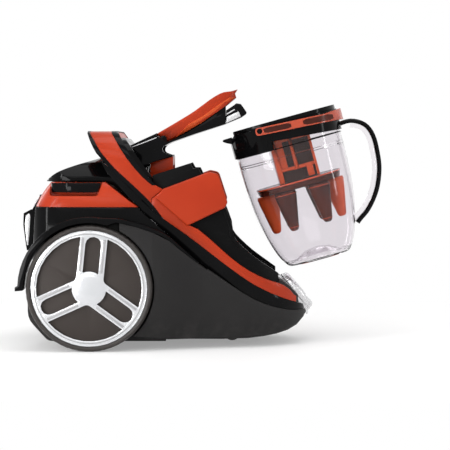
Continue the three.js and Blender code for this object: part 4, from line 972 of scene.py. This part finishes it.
def grille_painted_sheen_and_trim():
    """Silver patch and edge line on both sides of the rear grille, which narrows upward; the patch is a
    painted reflection on the glossy grille's side.
    """
    # painted reflection: the bright patch on the grille's side
    cheek = [(-108.8, 189), (-107.6, 201), (-102.5, 205), (-100.5, 200), (-102, 170), (-103.6, 155),
             (-105.2, 155), (-106.8, 170)]
    line = [(-99.4, 211.2), (-86.6, 233.4), (-85.4, 231.4), (-97.2, 211.4)]
    for name, side in SIDES:
        shape = Shape()
        for outline in (cheek, line):
            shape.loft([[Vector((x, side * (52 - (z - 140) / 12 + rise), z)) for x, z in outline]
                        for rise in (-0.6, 0.4)])
        shape.piece(f"grille_painted_sheen_and_trim_{name}", "body", "silver_plastic", AXLE, edge=0.2)


def duct_seal():
    """Black foam seal on the filter duct's sloping top, which the arm closes down over."""
    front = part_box("filter_duct")[1].z / MM
    rear = front - 9.6
    outline = [(89, rear - 0.4), (122.6, front - 0.6), (122.6, front + 3), (89, rear + 3.2)]
    Shape().slab(outline, -48, 48).piece("duct_seal", "body", "liner_black", AXLE, edge=0.6)


def vent_ends():
    """Bright ends of the slats between the arm's ears."""
    for name, side in SIDES:
        shape = Shape()
        for row in range(5):
            x = 70 + row * 3.2
            slat = [(x + 0.2, 262.6), (x + 1.3, 262.6), (x + 3.1, 276.6), (x + 2, 276.6)]
            shape.slab(slat, *span(side, 44, 44.7))
        shape.piece(f"vent_ends_{name}", "body", "silver_plastic", AXLE)


def pedal_ribs():
    """Grip ribs along the outer half of each pedal."""
    for pedal, body in (("power_pedal", "power_button"), ("cord_pedal", "cord_button")):
        low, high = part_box(pedal)
        side = math.copysign(1, low.y + high.y)
        top = high.z / MM
        shape = Shape()
        for row in range(7):
            x = -46 + row * 8
            rib = [(x, top - 0.6), (x + 3, top - 0.6), (x + 2.4, top + 0.7), (x + 0.6, top + 0.7)]
            shape.slab(rib, *span(side, 88, 99))
        shape.piece(f"{pedal}_ribs", body, "gloss_black", AXLE, edge=0.3)


def bay_beads():
    """Fine raised bead that follows the front edge of the cup bay's walls down to the nose."""
    for name, side in SIDES:
        low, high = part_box(f"bay_wall_{name}")
        face = max(abs(low.y), abs(high.y)) / MM
        path = [Vector((x, side * face, z)) for x, z in flowing(BAY_EDGE, 4) if x < 228]
        Shape().rod(path, 0.7, 8).piece(f"bay_bead_{name}", "body", "liner_black", AXLE)


# ---------------------------------------------------------------- nose and underside
SCREWS = [(x, side * y) for x, y in ((-52, 70), (92, 70), (158, 48)) for side in (1, -1)]


def inlet():
    """Hose inlet: a scalloped silver ring with a bayonet groove, and a soft seal in its bore."""
    line = [(20.2, -15.9), (39.8, -15.9), (39.9, -13.2), (38.6, -11.6), (36.6, -10.4), (35.4, -7.4),
            (35.9, -6.4), (35.9, -5.2), (34.9, -4.4), (34.3, -1), (33, 1.4), (30.4, 3.5), (27.5, 3.9),
            (25, 3.9), (22.6, 2), (20.2, 0)]
    rings = []
    for a in turns(144):
        dip = 0.25 * (1 - math.cos(36 * a))
        rings.append([around(a, r - dip if 34 < r < 37 else r, height) for r, height in line])
    Shape().loft(rings, closed=True).piece("inlet_ring", "body", "silver_plastic", INLET, ["hose_inlet"])
    seal = [(19.9, -14), (17.6, -12), (17.6, -9), (19.9, -8)]
    Shape().turn(seal, 64, closed=True).piece("inlet_seal", "body", "tyre", INLET)


def underside_screws():
    """Domed screws in the flat underside, each with a small hole in its head."""
    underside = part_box("chassis")[0].z / MM
    profile = [(0, 1), (4, 1), (4, -0.3), (3.2, -0.9), (1.2, -1.1), (1.0, -0.4), (0, -0.4)]
    shape = Shape()
    for x, y in SCREWS:
        shape.turn(profile, 20, place=Matrix.Translation((x, y, underside)))
    shape.piece("underside_screws", "body", "steel", AXLE)


# ---------------------------------------------------------------- finishes on the carried-over nodes
USUAL_EDGE = 0.7
EDGE_WIDTHS = {"chassis": 0.8, "loop_cover": 1.8, "loop_core": 1.2, "top_cover": 1.2, "rear_shoulder": 1.2,
               "bridge_arm": 1.0, "release_lever": 1.4, "rim_left": 1.5, "rim_right": 1.5, "cup_lid": 1.2,
               "cup_collar": 0.8, "side_panel_left": 1.6, "side_panel_right": 1.6, "fender_left": 1.0,
               "fender_right": 1.0}


def dress_nodes():
    """Gives every node its finish; facets are merged where they're flat, and edges are rounded."""
    for part in frame["record"]["subparts"]:
        node = frame["nodes"][part["node"]]
        node.data.materials.clear()
        node.data.materials.append(FINISHES[part["material_slot"]].material)
        weld = node.modifiers.new("weld", "WELD")
        weld.merge_threshold = 0.02 * MM
        flat = node.modifiers.new("flat", "DECIMATE")
        flat.decimate_type = "DISSOLVE"
        flat.angle_limit = math.radians(0.6)
        eased(node, EDGE_WIDTHS.get(part["node"], USUAL_EDGE))


# ---------------------------------------------------------------- the scene
camera()
world()
floor()
for row in LAMPS:
    lamp(*row)

dress_nodes()
for wheel, outward in SIDES:
    hub = wheel_place(wheel, outward)
    tyre(wheel, hub)
    hub_dome(wheel, hub)
    rim_lines(wheel, hub)
    spoke_painted_shade(wheel, hub, outward)
castor_tread()
jug()
handle()
gasket()
cyclone_frame()
cyclone_deck()
cyclone_cones()
bail_windows()
loop_linings()
tip_trim()
lever_lip()
arm_painted_highlight()
grille_painted_sheen_and_trim()
duct_seal()
vent_ends()
pedal_ribs()
bay_beads()
inlet()
underside_screws()

SCENE.view_settings.view_transform = "Standard"
